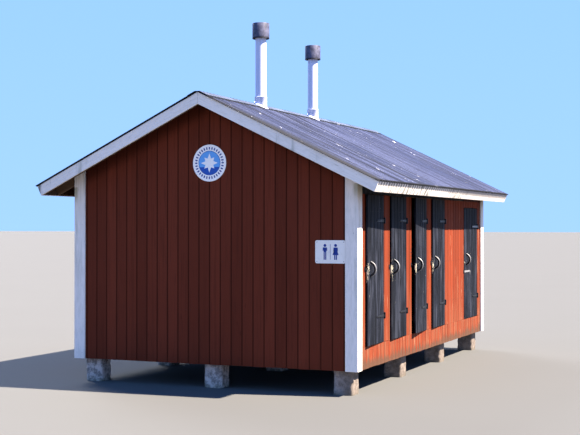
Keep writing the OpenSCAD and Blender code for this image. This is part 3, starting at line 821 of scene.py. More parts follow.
def rough_stone(s):
    """Split grey stone with pale and dark grains and a little green low down."""
    f = Finish("pier_stone")
    cloud = f.noise(f.place(), 15.0, 6.0, 0.7)
    grit = f.noise(f.place(), 160.0, 3.0, 0.7)
    x, _, z = f.position()
    f.ground(f.span(cloud, 0.4, 0.6), shade(s.stone, 0.5), shade(s.stone, 1.3))
    f.lay(f.span(grit, 0.6, 0.7) * 0.45, shade(s.stone, 1.6))
    f.lay(f.span(grit, 0.42, 0.32) * 0.6, shade(s.stone, 0.5))
    f.lay(f.span(z + cloud * 0.12, 0.14, 0.04) * 0.5, s.moss)
    # Darker on the piers of the door side, where the key light falls: painted shade
    f.lay(f.span(x + (cloud - 0.5) * 0.3, 1.4, 1.9) * 0.78, s.door_side_stone_shade)
    return f.done(0.92, f.bump(cloud + grit * 0.35, 0.006, 0.8))


def roof_metal(s, waved):
    """Blue-grey coated steel: darker between the crests, chalky bands, dark runs and scratches, and
    painted shade under the cap, at the eave end and towards the rear.
    """
    f = Finish("roof_sheet" if waved else "ridge_sheet")
    main = s.roof_blue if waved else s.roof_cap
    runs = f.noise(f.stretched(0.3, 17.0, 0.3), detail=5.0, rough=0.65)
    cloud = f.noise(f.place(), 0.9, 4.0)
    fine = f.noise(f.place(), 38.0, 4.0, 0.7)
    f.ground(f.tone() * 0.5 + cloud * 0.5, shade(main, 0.85), shade(main, 1.15))
    if waved:
        wave = f.stored("wave")
        bands = f.noise(f.stretched(0.35, 7.0, 0.35), detail=3.0)
        f.lay(f.span(bands, 0.46, 0.56) * 0.95, s.roof_chalk)
        f.lay(f.span(runs, 0.50, 0.42) * 0.85, shade(main, 0.3))
        # Darker everywhere but on the crests: dirt and painted shade in the troughs
        f.lay(f.span(wave + (fine - 0.5) * 0.2, 0.98, 0.68) * 0.95, s.roof_dirt_and_shade)
        x, y, _ = f.position()
        verge = f.span(y + (cloud - 0.5) * 0.5, SHEET_LOW.y + 0.42, SHEET_LOW.y)
        side = f.math("ABSOLUTE", x)
        f.lay(verge * f.span(side, 0.2, 0.9, 0.15, 0.55), s.verge_dirt)
        # Darker towards the rear: painted shade
        f.lay(f.span(y, -0.5, 2.5) * 0.25, shade(main, 0.6))
        # Painted shadow under the edges of the ridge cap, and in the hollows under the crests at
        # the eave end
        cap_edge_shadow = f.span(side + wave * 0.012, CAP_HIGH.x + 0.092, CAP_HIGH.x + 0.075)
        eave_end_shadow = f.span(side - wave * 0.085, SHEET_HIGH.x - 0.105, SHEET_HIGH.x - 0.095)
        f.lay(f.math("MAXIMUM", cap_edge_shadow, eave_end_shadow) * 0.95, shade(s.roof_dirt_and_shade, 0.5))
        # A dark band along the rear verge: painted shade
        f.lay(f.span(y, SHEET_HIGH.y - 0.14, SHEET_HIGH.y - 0.08) * 0.8, shade(main, 0.35))
        flecks = f.noise(f.stretched(5.0, 62.0, 5.0), detail=2.0)
        scar = f.span(flecks + (fine - 0.5) * 0.2, 0.735, 0.76)
        f.lay(scar * f.span(wave, 0.5, 0.8), s.roof_scar)
    else:
        f.lay(f.span(runs, 0.48, 0.34) * 0.3, shade(main, 0.5))
    rough = f.span(cloud + fine * 0.3, 0.4, 0.9, 0.5, 0.7)
    return f.done(rough, f.bump(fine * 0.4 + runs * 0.6, 0.0008, 0.4))


def roof_underside(s):
    """The unpainted underside of the roofing, dull with age and near black, as painted shade for
    the hollows under the crests.
    """
    f = Finish("roof_underside")
    cloud = f.noise(f.place(), 5.0, 5.0, 0.65)
    f.ground(f.span(cloud, 0.3, 0.7), shade(s.roof_dirt_and_shade, 0.5), shade(s.roof_dirt_and_shade, 1.5))
    return f.done(f.span(cloud, 0.3, 0.7, 0.6, 0.85), f.bump(cloud, 0.001, 0.4))


def vent_plastic(s):
    """White plastic pipe, a little chalky, with faint grey runs from the cowl."""
    f = Finish("vent_white")
    runs = f.noise(f.stretched(40.0, 40.0, 1.6), detail=3.0)
    cloud = f.noise(f.place(), 6.0, 3.0)
    dirt = f.span(runs, 0.5, 0.75) * 0.2 + f.span(cloud, 0.55, 0.8) * 0.1
    f.ground(dirt, s.vent_white, s.trim_stain)
    return f.done(f.span(cloud, 0.3, 0.7, 0.32, 0.5), f.bump(cloud, 0.0008, 0.3), specular=0.3)


def cowl_metal(s):
    """Dull zinc-grey sheet with blotches, and painted shade along its lower rim."""
    f = Finish("cowl_grey")
    cloud = f.noise(f.place(), 14.0, 5.0, 0.65)
    fine = f.noise(f.place(), 90.0, 3.0)
    _, y, z = f.position()
    low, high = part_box("front_vent_cowl")
    rear_low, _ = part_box("rear_vent_cowl")
    step = f.math("GREATER_THAN", y, (high.y + rear_low.y) / 2)
    height = z - low.z - step * (rear_low.z - low.z)
    f.ground(f.span(cloud, 0.35, 0.65), shade(s.cowl_grey, 0.6), shade(s.cowl_grey, 1.45))
    f.lay(f.span(fine, 0.6, 0.75) * 0.4, shade(s.cowl_grey, 2.0))
    # Darker at the lower rim: painted shade
    f.lay(f.span(height, 0.030, 0.012) * 0.85, shade(s.cowl_grey, 0.15))
    return f.done(f.span(cloud, 0.3, 0.7, 0.45, 0.7), f.bump(cloud, 0.002, 0.5), metallic=0.2,
                  specular=0.3)


def enamel(s, name, paint, dirt):
    """Smooth painted sheet metal for the signs, with a trace of dirt."""
    f = Finish(name)
    cloud = f.noise(f.place(), 11.0, 5.0)
    runs = f.noise(f.stretched(34.0, 34.0, 2.0), detail=3.0)
    f.ground(f.span(cloud, 0.5, 0.8) * dirt + f.span(runs, 0.55, 0.8) * dirt, paint, s.trim_stain)
    return f.done(f.span(cloud, 0.3, 0.7, 0.28, 0.45), f.bump(cloud, 0.0005, 0.2), specular=0.2)


def iron(s, name, coating, metallic, rub):
    """Forged or dipped iron: dark coating with brighter high spots and a little rust."""
    f = Finish(name)
    cloud = f.noise(f.place(), 30.0, 5.0, 0.65)
    fine = f.noise(f.place(), 180.0, 3.0)
    f.ground(cloud, shade(coating, 0.7), shade(coating, 1.35))
    f.lay(f.span(cloud + fine * 0.3, 0.78, 0.9) * 0.6, s.rust)
    f.lay(f.span(fine, 0.55, 0.7) * rub, s.zinc)
    return f.done(f.span(cloud, 0.3, 0.7, 0.35, 0.6), f.bump(cloud + fine * 0.3, 0.0012, 0.5),
                  metallic=metallic, specular=0.3)


# The maker of each finish, from the colours in the settings
FINISHES = {
    "gable_red": lambda s: painted_boards(s, "gable_red", s.wall_red, "X", 0.12),
    "side_red": lambda s: painted_boards(s, "side_red", s.side_red, "Y", 0.75),
    "tarred": lambda s: tarred_boards(s, "tarred", False),
    "tarred_worn": lambda s: tarred_boards(s, "tarred_worn", True),
    "white": white_boards,
    "timber": bare_timber,
    "stone": rough_stone,
    "roof": lambda s: roof_metal(s, True),
    "cap": lambda s: roof_metal(s, False),
    "roof_under": roof_underside,
    "vent": vent_plastic,
    "cowl": cowl_metal,
    "sign_white": lambda s: enamel(s, "sign_white", s.sign_white, 0.25),
    "sign_blue": lambda s: enamel(s, "sign_blue", s.sign_blue, 0.05),
    "plate_white": lambda s: enamel(s, "plate_white", s.plate_white, 0.05),
    "plate_blue": lambda s: enamel(s, "plate_blue", s.plate_blue, 0.05),
    "plate_sky": lambda s: enamel(s, "plate_sky", s.plate_sky, 0.08),
    "iron": lambda s: iron(s, "iron", s.iron_black, 0.2, 0.05),
    "handle_iron": lambda s: iron(s, "handle_iron", s.handle_wear_and_highlight, 0.3, 0.3),
    "zinc": lambda s: iron(s, "zinc", s.zinc, 0.4, 0.2),
    "nail_red": lambda s: iron(s, "nail_red", shade(s.wall_red, 0.45), 0.1, 0.0),
    "nail_white": lambda s: iron(s, "nail_white", shade(s.trim_white, 0.6), 0.1, 0.0),
}


@cache
def finish(name):
    """A finish by its name, made the first time that it is asked for."""
    return FINISHES[name](bpy.context.scene.outbuilding_colours)


# Settings


def length(name, description, default):
    """A size that a user can change."""
    return bpy.props.FloatProperty(name=name, description=description, default=default,
                                   unit="LENGTH", precision=4)


def tint(name, description, default):
    """A colour that a user can change."""
    return bpy.props.FloatVectorProperty(name=name, description=description, default=default,
                                         subtype="COLOR", size=3, min=0.0, max=1.0)


def amount(name, description, default):
    """A plain number that a user can change."""
    return bpy.props.FloatProperty(name=name, description=description, default=default)


def angle(name, description, degrees):
    """An angle that a user can change."""
    return bpy.props.FloatProperty(name=name, description=description, subtype="ANGLE",
                                   default=math.radians(degrees))


def count(name, description, default):
    """A number of pieces that a user can change."""
    return bpy.props.IntProperty(name=name, description=description, default=default)


class OutbuildingBoards(bpy.types.PropertyGroup):
    """Sizes of the boards, nails and planks."""

    pitch: length("Board pitch", "Distance from one wall board to the next", 0.15)
    gap: length("Joint", "Open width of the joint between two wall boards", 0.003)
    chamfer: length("Chamfer", "Chamfer on the edges of a wall board", 0.004)
    push: length("Push", "Most that one wall board lies behind another", 0.0018)
    ragged: length("Ragged", "Most that a board's lower end is short", 0.006)
    edge: length("Eased edge", "Bevel on the edges of beams and trim boards", 0.0025)
    roof_pitch: length("Roof board pitch", "Distance from one roof board to the next", 0.12)
    plank_t: length("Plank thickness", "Thickness of a door's planks", 0.022)
    plank_count: count("Planks", "Planks in each door", 5)
    nail_r: length("Nail radius", "Radius of a nail's head", 0.0042)


class OutbuildingRoof(bpy.types.PropertyGroup):
    """Sizes of the roofing."""

    wave_pitch: length("Wave pitch", "Distance from one crest of the roofing to the next", 0.095)
    sheet_t: length("Sheet", "Thickness of the roofing as it shows at its edges", 0.002)
    waves: count("Waves", "Waves in the cover of a sheet", 9)
    lap: length("Lap", "Step at the lap of two sheets", 0.0025)
    ragged: length("Ragged", "Most that a sheet's lower end is short", 0.0015)
    dent: length("Dents", "Depth of the dents in the sheets", 0.002)
    screw_r: length("Screw radius", "Radius of a roofing screw's washer", 0.009)


class OutbuildingColours(bpy.types.PropertyGroup):
    """Colours of the finishes."""

    wall_red: tint("Wall red", "Paint of the gable boards", (0.130, 0.0262, 0.0132))
    side_red: tint("Side red", "Paint of the boards beside the doors", (0.150, 0.0252, 0.0088))
    red_fade: tint("Faded red", "Red paint where sun and rain have thinned it",
                   (0.195, 0.052, 0.026))
    red_thin: tint("Thin red", "Red paint that is nearly gone", (0.175, 0.064, 0.034))
    red_flaked: tint("Flaked red", "Pale wood where the paint has flaked off", (0.36, 0.20, 0.12))
    mud: tint("Mud", "Splashed earth low on the boards", (0.072, 0.040, 0.026))
    door_black: tint("Door stain", "Dark stain of the doors", (0.0055, 0.0068, 0.0115))
    door_grey: tint("Door grey", "Grey of the doors where the stain has worn",
                    (0.016, 0.019, 0.032))
    door_worn: tint("Door worn", "Bare grey wood of the doors", (0.033, 0.037, 0.054))
    worn_wood: tint("Rubbed wood", "Wood where hands have rubbed a door", (0.58, 0.53, 0.41))
    trim_white: tint("Trim white", "Paint of the corner boards, bargeboards and fascias",
                     (0.83, 0.75, 0.70))
    trim_stain: tint("Stain", "Grey stain on white paint", (0.30, 0.30, 0.25))
    # Painted shadow of the roofing's edge on the fascias, and dirt there
    eave_shadow_and_dirt: tint("Eave grime", "Dirt on the fascia under the roofing's edge",
                     (0.125, 0.125, 0.135))
    algae: tint("Algae", "Growth on white paint under the eaves", (0.20, 0.18, 0.06))
    grey_wood: tint("Grey wood", "Wood under flaked paint", (0.16, 0.14, 0.12))
    bare_wood: tint("Bare timber", "Unpainted timber", (0.11, 0.064, 0.036))
    stone: tint("Stone", "Piers", (0.42, 0.35, 0.32))
    # Painted shade on the piers of the door side
    door_side_stone_shade: tint("Earth", "Dried earth on the piers of the door side", (0.085, 0.068, 0.055))
    moss: tint("Moss", "Green on the piers near the ground", (0.06, 0.08, 0.035))
    roof_blue: tint("Roofing", "Coating of the roofing", (0.0300, 0.0390, 0.0960))
    roof_cap: tint("Ridge", "Coating of the ridge cap", (0.070, 0.085, 0.135))
    roof_chalk: tint("Chalked roofing", "Coating where it has gone chalky", (0.070, 0.085, 0.175))
    # Dirt and painted shade: the troughs, the gaps under the cap and at the eave, and the roofing's
    # underside
    roof_dirt_and_shade: tint("Roof dirt", "Dirt in the troughs of the roofing", (0.0050, 0.0055, 0.0090))
    verge_dirt: tint("Verge dirt", "Moss and dust along the roof's front edge",
                     (0.024, 0.024, 0.026))
    roof_scar: tint("Scratches", "Scratches and droppings on the roofing", (0.80, 0.80, 0.86))
    vent_white: tint("Vent white", "Vent pipes and collars", (0.53, 0.55, 0.72))
    cowl_grey: tint("Cowl grey", "Cowls", (0.060, 0.062, 0.105))
    sign_white: tint("Sign white", "Ground of the signs", (0.85, 0.78, 0.72))
    sign_blue: tint("Sign blue", "Figures on the sign", (0.012, 0.035, 0.22))
    plate_white: tint("Plate white", "Ring of the round plate", (0.95, 0.90, 0.88))
    plate_blue: tint("Plate blue", "Dark field of the round plate", (0.02, 0.09, 0.42))
    plate_sky: tint("Plate sky", "Light field of the round plate", (0.13, 0.38, 0.80))
    iron_black: tint("Iron", "Coating of the hinges", (0.0062, 0.0072, 0.0105))
    # The handles' lighter outside: wear and a painted highlight
    handle_wear_and_highlight: tint("Handle", "Worn metal of the handles", (0.16, 0.16, 0.17))
    zinc: tint("Zinc", "Bright and dipped metal", (0.22, 0.22, 0.23))
    rust: tint("Rust", "Rust on the ironwork", (0.05, 0.020, 0.010))


class OutbuildingStage(bpy.types.PropertyGroup):
    """Camera, light and floor."""

    lens: amount("Lens", "Focal length in millimetres", 74.13)
    camera_x: length("Camera X", "Place of the camera along X", 6.787)
    camera_y: length("Camera Y", "Place of the camera along Y", -16.404)
    camera_z: length("Camera Z", "Height of the camera", 2.038)
    yaw: angle("Yaw", "Turn of the camera to the left of +Y", 22.985)
    rise: angle("Rise", "Tilt of the camera above the horizon", 0.419)
    sun_turn: angle("Light turn", "Way to the key light, from +X", 11.5)
    sun_rise: angle("Light height", "Height of the key light", 53.1)
    sun_power: amount("Key", "Strength of the key light", 26.0)
    sun_tint: tint("Key tint", "Colour of the key light", (1.0, 0.88, 0.72))
    rear_power: amount("Fill", "Strength of the fill from behind", 3.0)
    sky_low: tint("Low sky", "Light from near the horizon", (0.30, 0.53, 1.0))
    sky_high: tint("High sky", "Light from overhead", (0.095, 0.33, 1.0))
    sky_power: amount("Sky", "Strength of the light all round", 1.36)
    floor: tint("Floor", "Colour of the floor", (0.085, 0.085, 0.085))


# Pieces


def on_slope(side, u, w):
    """A point at Y = 0, u down the slope from the ridge and w square to the tops of the rafters."""
    x = u * math.cos(PITCH) + w * math.sin(PITCH)
    return Vector((side * x, 0, RIDGE_Z - u * math.sin(PITCH) + w * math.cos(PITCH)))


def slope_axes(side):
    """The ways down a slope and square out of it."""
    return (Vector((side * math.cos(PITCH), 0, -math.sin(PITCH))),
            Vector((side * math.sin(PITCH), 0, math.cos(PITCH))))


def slope_place(side):
    """The place of a panel on a slope: X down the slope, Y into the roof and Z along the roof."""
    _, out = slope_axes(side)
    return placed(on_slope(side, 0, 0), -out, (0, side, 0))


def wall_boards(s, place, run, ends, finish_name, seed, phase=0.0, slope=0.0):
    """Wall boards over a run along a wall, with their ends at two heights."""
    unit = board_unit(s.pitch, BOARD_T - s.push, s.gap, s.chamfer, BOARD_T * 0.45)
    made = lay_boards(unit, finish_name, seed, run, ends, s.pitch, phase, slope, s.push, s.ragged)
    return moved(made, place)


# Higher than any nail, for a panel that no slope cuts
NO_VERGE = 9.0
# The first row of nails above the foot of a wall, and the step to the next
NAIL_FOOT = 0.075
NAIL_ROWS = 0.61


def nail_rows(s, place, columns, rows, finish_name, seed=5, apex=NO_VERGE, slope=0.0, size=1.0):
    """Nail heads over a panel, in columns and rows that give the first, the step and the count."""
    head = dome(s.nail_r * size, s.nail_r * size * 0.35)
    return moved(lay_fasteners(head, finish_name, seed, columns, rows, 0.004, apex, slope), place)


def nail_line(s, first, stretch):
    """The columns of two nails to a wall board over a stretch."""
    return first, s.pitch / 2, int(stretch / s.pitch * 2)


class OUTBUILDING_OT_gables(bpy.types.Operator):
    """Make the boards and nails of the front and rear gables"""

    bl_idname = "outbuilding.gables"
    bl_label = "Gables"

    def execute(self, context):
        s = context.scene.outbuilding_boards
        step = s.pitch / 2
        columns = int(2 * FACE_X / step) - 1
        first = -(columns - 1) / 2 * step
        first += step / 2 if columns % 2 else 0.0
        below_verge = 0.06
        for name, y, inward, seed in (("front", FRONT_Y, 1, 11), ("rear", REAR_Y, -1, 12)):
            place = placed((0, y, 0), (0, inward, 0))
            boards = wall_boards(s, place, (-FACE_X, FACE_X), (WALL_Z, RIDGE_Z), "gable_red", seed,
                                 slope=SLOPE)
            add_piece(f"{name}_gable_boards", boards,
                      stands_for=(f"{name}_wall",), grain=seed)
            nails = nail_rows(s, place, (first, step, columns - 1),
                              (WALL_Z + NAIL_FOOT, NAIL_ROWS, 6), "nail_red", seed,
                              RIDGE_Z - below_verge, SLOPE)
            add_piece(f"{name}_gable_nails", nails)
        return {"FINISHED"}


class OUTBUILDING_OT_side_walls(bpy.types.Operator):
    """Make the boards of the plain side and of the door side"""

    bl_idname = "outbuilding.side_walls"
    bl_label = "Side walls"

    def execute(self, context):
        s = context.scene.outbuilding_boards
        low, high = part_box("left_wall")
        place = placed((-FACE_X, 0, 0), (1, 0, 0))
        boards = wall_boards(s, place, (-high.y, -low.y), (low.z, high.z), "side_red", 21,
                             phase=-FRONT_Y)
        add_piece("left_side_boards", boards, stands_for=("left_wall",), grain=21)
        nails = nail_rows(s, place, nail_line(s, -high.y + 0.06, high.y - low.y - 0.1),
                          (low.z + NAIL_FOOT, NAIL_ROWS, 4), "nail_red", seed=22)
        add_piece("left_side_nails", nails)
        self.door_side(s)
        return {"FINISHED"}

    def door_side(self, s):
        """The boards of each stretch of the door side, on the same joint lines all along."""
        place = placed((FACE_X, 0, 0), (-1, 0, 0))
        for k, part in enumerate(("base", "strips", "panel", "header")):
            node = f"door_wall_{part}"
            stretches = [(low.y, high.y, low.z, high.z) for low, high in solid_boxes(node)]
            looks = ["side_red"] * len(stretches)
            if part == "header":
                stretches = self.header_stretches(stretches[0])
                # Over the first four doors the header takes the doors' black stain, as painted
                # shade for the deep shadow under the eave
                looks = ["tarred", "side_red", "side_red"]
            meshes = [
                wall_boards(s, place, (y1, y2), (z1, z2), look, 31 + 7 * k + i, phase=FRONT_Y)
                for i, (look, (y1, y2, z1, z2)) in enumerate(zip(looks, stretches))
            ]
            add_piece(f"{node}_boards", joined(meshes), stands_for=(node,),
                      grain=31 + k)
        self.nails(s, place)

    def nails(self, s, place):
        """The nails below the doors and on the panel, and four old bolts on the panel."""
        low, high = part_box("door_wall_base")
        base = nail_rows(s, place, nail_line(s, low.y + 0.05, high.y - low.y - 0.1),
                         (low.z + 0.05, 0.17, 2), "nail_red", seed=41)
        low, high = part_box("door_wall_panel")
        panel = nail_rows(s, place, nail_line(s, low.y + 0.04, high.y - low.y),
                          (low.z + 0.35, 0.6, 3), "nail_red", seed=42)
        add_piece("door_side_nails", joined([base, panel]))
        y, z, step = -0.81, 1.59, 0.046
        bolts = [moved(dome(0.010, 0.003), place @ Matrix.Translation((y, 0, z + step * k)))
                 for k in range(4)]
        add_piece("old_bolts", painted(joined(bolts), "iron"))

    def header_stretches(self, whole):
        """The header's run, with the part that comes lower over the wide door apart."""
        y1, y2, z1, z2 = whole
        _, strips_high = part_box("door_wall_strips")
        wide_low, wide_high = wide_doorway()
        return [(y1, wide_low, strips_high.z, z2), (wide_low, wide_high, z1, z2),
                (wide_high, y2, strips_high.z, z2)]


def wide_doorway():
    """The Y of the two sides of the fifth doorway: the wall before it, and its hinge."""
    hinge = joint_of("door_5")["pos_m"][1]
    edges = [y for box in solid_boxes("door_wall_strips") for y in (box[0].y, box[1].y)]
    edges.append(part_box("door_wall_panel")[1].y)
    return max(y for y in edges if y < hinge - 0.1), hinge


def joint_of(name):
    """The joint that a door turns on."""
    return next(j for j in frame["joints"] if j["child"] == name)


def door_place(name):
    """The place of a door's own axes: on its hinge line, turned as far as it stands open."""
    joint = joint_of(name)
    turn = Matrix.Rotation(math.radians(-joint["range_deg"][0]), 4, "Z")
    return Matrix.Translation(joint["pos_m"]) @ turn


def stood_off(mesh, name):
    """A door's piece in the door's own axes, with its free edge a little off the frame."""
    for v in mesh.vertices:
        v.co.x += STAND_OFF.get(name, 0.0) * max(0.0, -v.co.y - STAND_OFF_FROM)
    return mesh


def own_box(node, place):
    """The box of a node in the axes of a place."""
    back = place.inverted()
    return box_of(back @ v.co for v in frame["nodes"][node].data.vertices)


# How far the tops of the fascias lie above the rafters' tops, square to the slope
EAVE_TOP = -own_box("eave_fascias", slope_place(1))[0].y


class OUTBUILDING_OT_frame(bpy.types.Operator):
    """Give the sills, joists, studs, posts, plates, ties and rafters eased edges and grain"""

    bl_idname = "outbuilding.frame"
    bl_label = "Timber frame"

    def execute(self, context):
        s = context.scene.outbuilding_boards
        timbers = ["long_sills", "end_sills", "floor_joists", "front_frame", "rear_frame",
                   "left_frame", "door_posts", "door_header_beam", "wall_plates", "collar_ties",
                   "ridge_beam", "left_rafters", "right_rafters"]
        for k, node in enumerate(timbers):
            mesh = painted(eased(node, s.edge), "timber")
            add_piece(f"{node}_timber", mesh, stands_for=(node,), grain=50 + k)
        return {"FINISHED"}


# Joints of floor and roof boards: their open width, and the depth at which a lip closes them
FLAT_JOINT = 0.002
FLAT_LIP = 0.012


class OUTBUILDING_OT_floor(bpy.types.Operator):
    """Lay the floor boards and the boards under the roofing"""

    bl_idname = "outbuilding.floor"
    bl_label = "Floor and roof boards"

    def execute(self, context):
        s = context.scene.outbuilding_boards
        low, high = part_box("floor_boards")
        unit = board_unit(s.pitch, high.z - low.z, FLAT_JOINT, 0.0015, FLAT_LIP)
        made = lay_boards(unit, "timber", 61, (low.x, high.x), (low.y, high.y), s.pitch)
        place = placed((0, 0, high.z), (0, 0, -1), (0, 1, 0))
        add_piece("floor_planking", moved(made, place),
                  stands_for=("floor_boards",), grain=61)
        for name, side in SIDES.items():
            self.roof_side(s, side, name)
        return {"FINISHED"}

    def roof_side(self, s, side, name):
        """The boards under the roofing of one slope."""
        node = f"{name}_roof_boards"
        place = slope_place(side)
        low, high = own_box(node, place)
        ridge = -low.y * math.tan(PITCH)
        unit = board_unit(s.roof_pitch, high.y - low.y, FLAT_JOINT, 0.001, FLAT_LIP)
        made = lay_boards(unit, "timber", 62, (low.x + 2 * ridge, high.x), (low.z, high.z),
                          s.roof_pitch)
        place = place @ Matrix.Translation((0, low.y, 0))
        add_piece(f"{name}_roof_planking", moved(made, place), stands_for=(node,),
                  grain=62)


class OUTBUILDING_OT_piers(bpy.types.Operator):
    """Split the stone piers to a rough face"""

    bl_idname = "outbuilding.piers"
    bl_label = "Piers"

    def execute(self, context):
        meshes = [self.pier(low, high) for low, high in solid_boxes("piers")]
        add_piece("rough_piers", painted(joined(meshes), "stone"),
                  stands_for=("piers",), smooth_under=50)
        return {"FINISHED"}

    def pier(self, low, high):
        """One block with worn corners and a split face that stays inside its box."""
        cuts = 15
        depth, grit = 0.014, 0.006
        corner = 0.035
        tiny = 1e-9
        bm = bmesh.new()
        bmesh.ops.create_cube(bm, size=1.0)
        bmesh.ops.subdivide_edges(bm, edges=bm.edges, cuts=cuts, use_grid_fill=True)
        middle = (low + high) / 2
        size = high - low
        half = Vector((size.x / 2, size.y / 2))
        for v in bm.verts:
            x, y, z = v.co.x * size.x, v.co.y * size.y, v.co.z * size.z
            near_x, near_y = half.x - abs(x), half.y - abs(y)
            in_corner = near_x < corner and near_y < corner
            if in_corner:
                out = Vector((corner - near_x, corner - near_y))
                pull = max(0.0, out.length - corner)
                x -= math.copysign(out.x / max(out.length, tiny) * pull, x)
                y -= math.copysign(out.y / max(out.length, tiny) * pull, y)
            if in_corner or min(near_x, near_y) < 1e-6:
                here = Vector((x, y, z)) + middle
                dent = depth * (0.5 + 0.5 * noise.fractal(here * 11, 1.0, 2.1, 4))
                dent = max(0.0, dent) + grit * max(0.0, noise.noise(here * 31))
                flat = Vector((x, y, 0))
                x, y, _ = flat * (1 - dent / max(flat.length, tiny))
            v.co = Vector((x, y, z)) + middle
        return from_bmesh(bm)


class OUTBUILDING_OT_trim(bpy.types.Operator):
    """Make the corner boards, bargeboards and fascias, with their nails"""

    bl_idname = "outbuilding.trim"
    bl_label = "White trim"

    def execute(self, context):
        s = context.scene.outbuilding_boards
        for k, node in enumerate(("front_bargeboards", "rear_bargeboards", "eave_fascias",
                                  "corner_boards")):
            mesh = painted(eased(node, s.edge), "white", "timber")
            for face in mesh.polygons:
                face.material_index = int(self.unpainted(node, face))
            add_piece(f"{node}_trim", mesh, stands_for=(node,), grain=71 + k)
        self.nails(s)
        return {"FINISHED"}

    def unpainted(self, node, face):
        """Whether a face is on the back of a bargeboard or fascia."""
        toward_wall = {
            "front_bargeboards": face.normal.y,
            "rear_bargeboards": -face.normal.y,
            "eave_fascias": -face.normal.x * math.copysign(1, face.center.x),
            "corner_boards": 0.0,
        }
        return toward_wall[node] > 0.5

    def nails(self, s):
        """Two rows of nails up each side of a corner board and along each bargeboard."""
        low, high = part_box("corner_boards")
        rows = (WALL_Z + 0.08, 0.56, 5)
        # The middles of the corner boards from the corners, and the first nail of a bargeboard
        front_x, side_y, verge_u, verge_w = 0.055, 0.08, 0.12, -0.10
        meshes = []
        for side in (-1, 1):
            for y, inward in ((low.y, 1), (high.y, -1)):
                place = placed((side * (FACE_X - front_x), y, 0), (0, inward, 0))
                meshes.append(nail_rows(s, place, (-0.045, 0.09, 2), rows, "nail_white"))
            for y in (FRONT_Y + side_y, REAR_Y - side_y):
                place = placed((side * high.x, y, 0), (-side, 0, 0))
                meshes.append(nail_rows(s, place, (-0.04, 0.08, 2), rows, "nail_white"))
        for node, inward in (("front_bargeboards", 1), ("rear_bargeboards", -1)):
            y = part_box(node)[0 if inward > 0 else 1].y
            for side in (-1, 1):
                down, out = slope_axes(side)
                first = on_slope(side, verge_u, verge_w) + Vector((0, y, 0))
                place = placed(first, (0, inward, 0), out)
                step = math.copysign(0.55, place.to_3x3().col[0].dot(down))
                meshes.append(nail_rows(s, place, (0.0, step, 5), (0.0, 0.07, 2), "nail_white"))
        add_piece("trim_nails", joined(meshes))


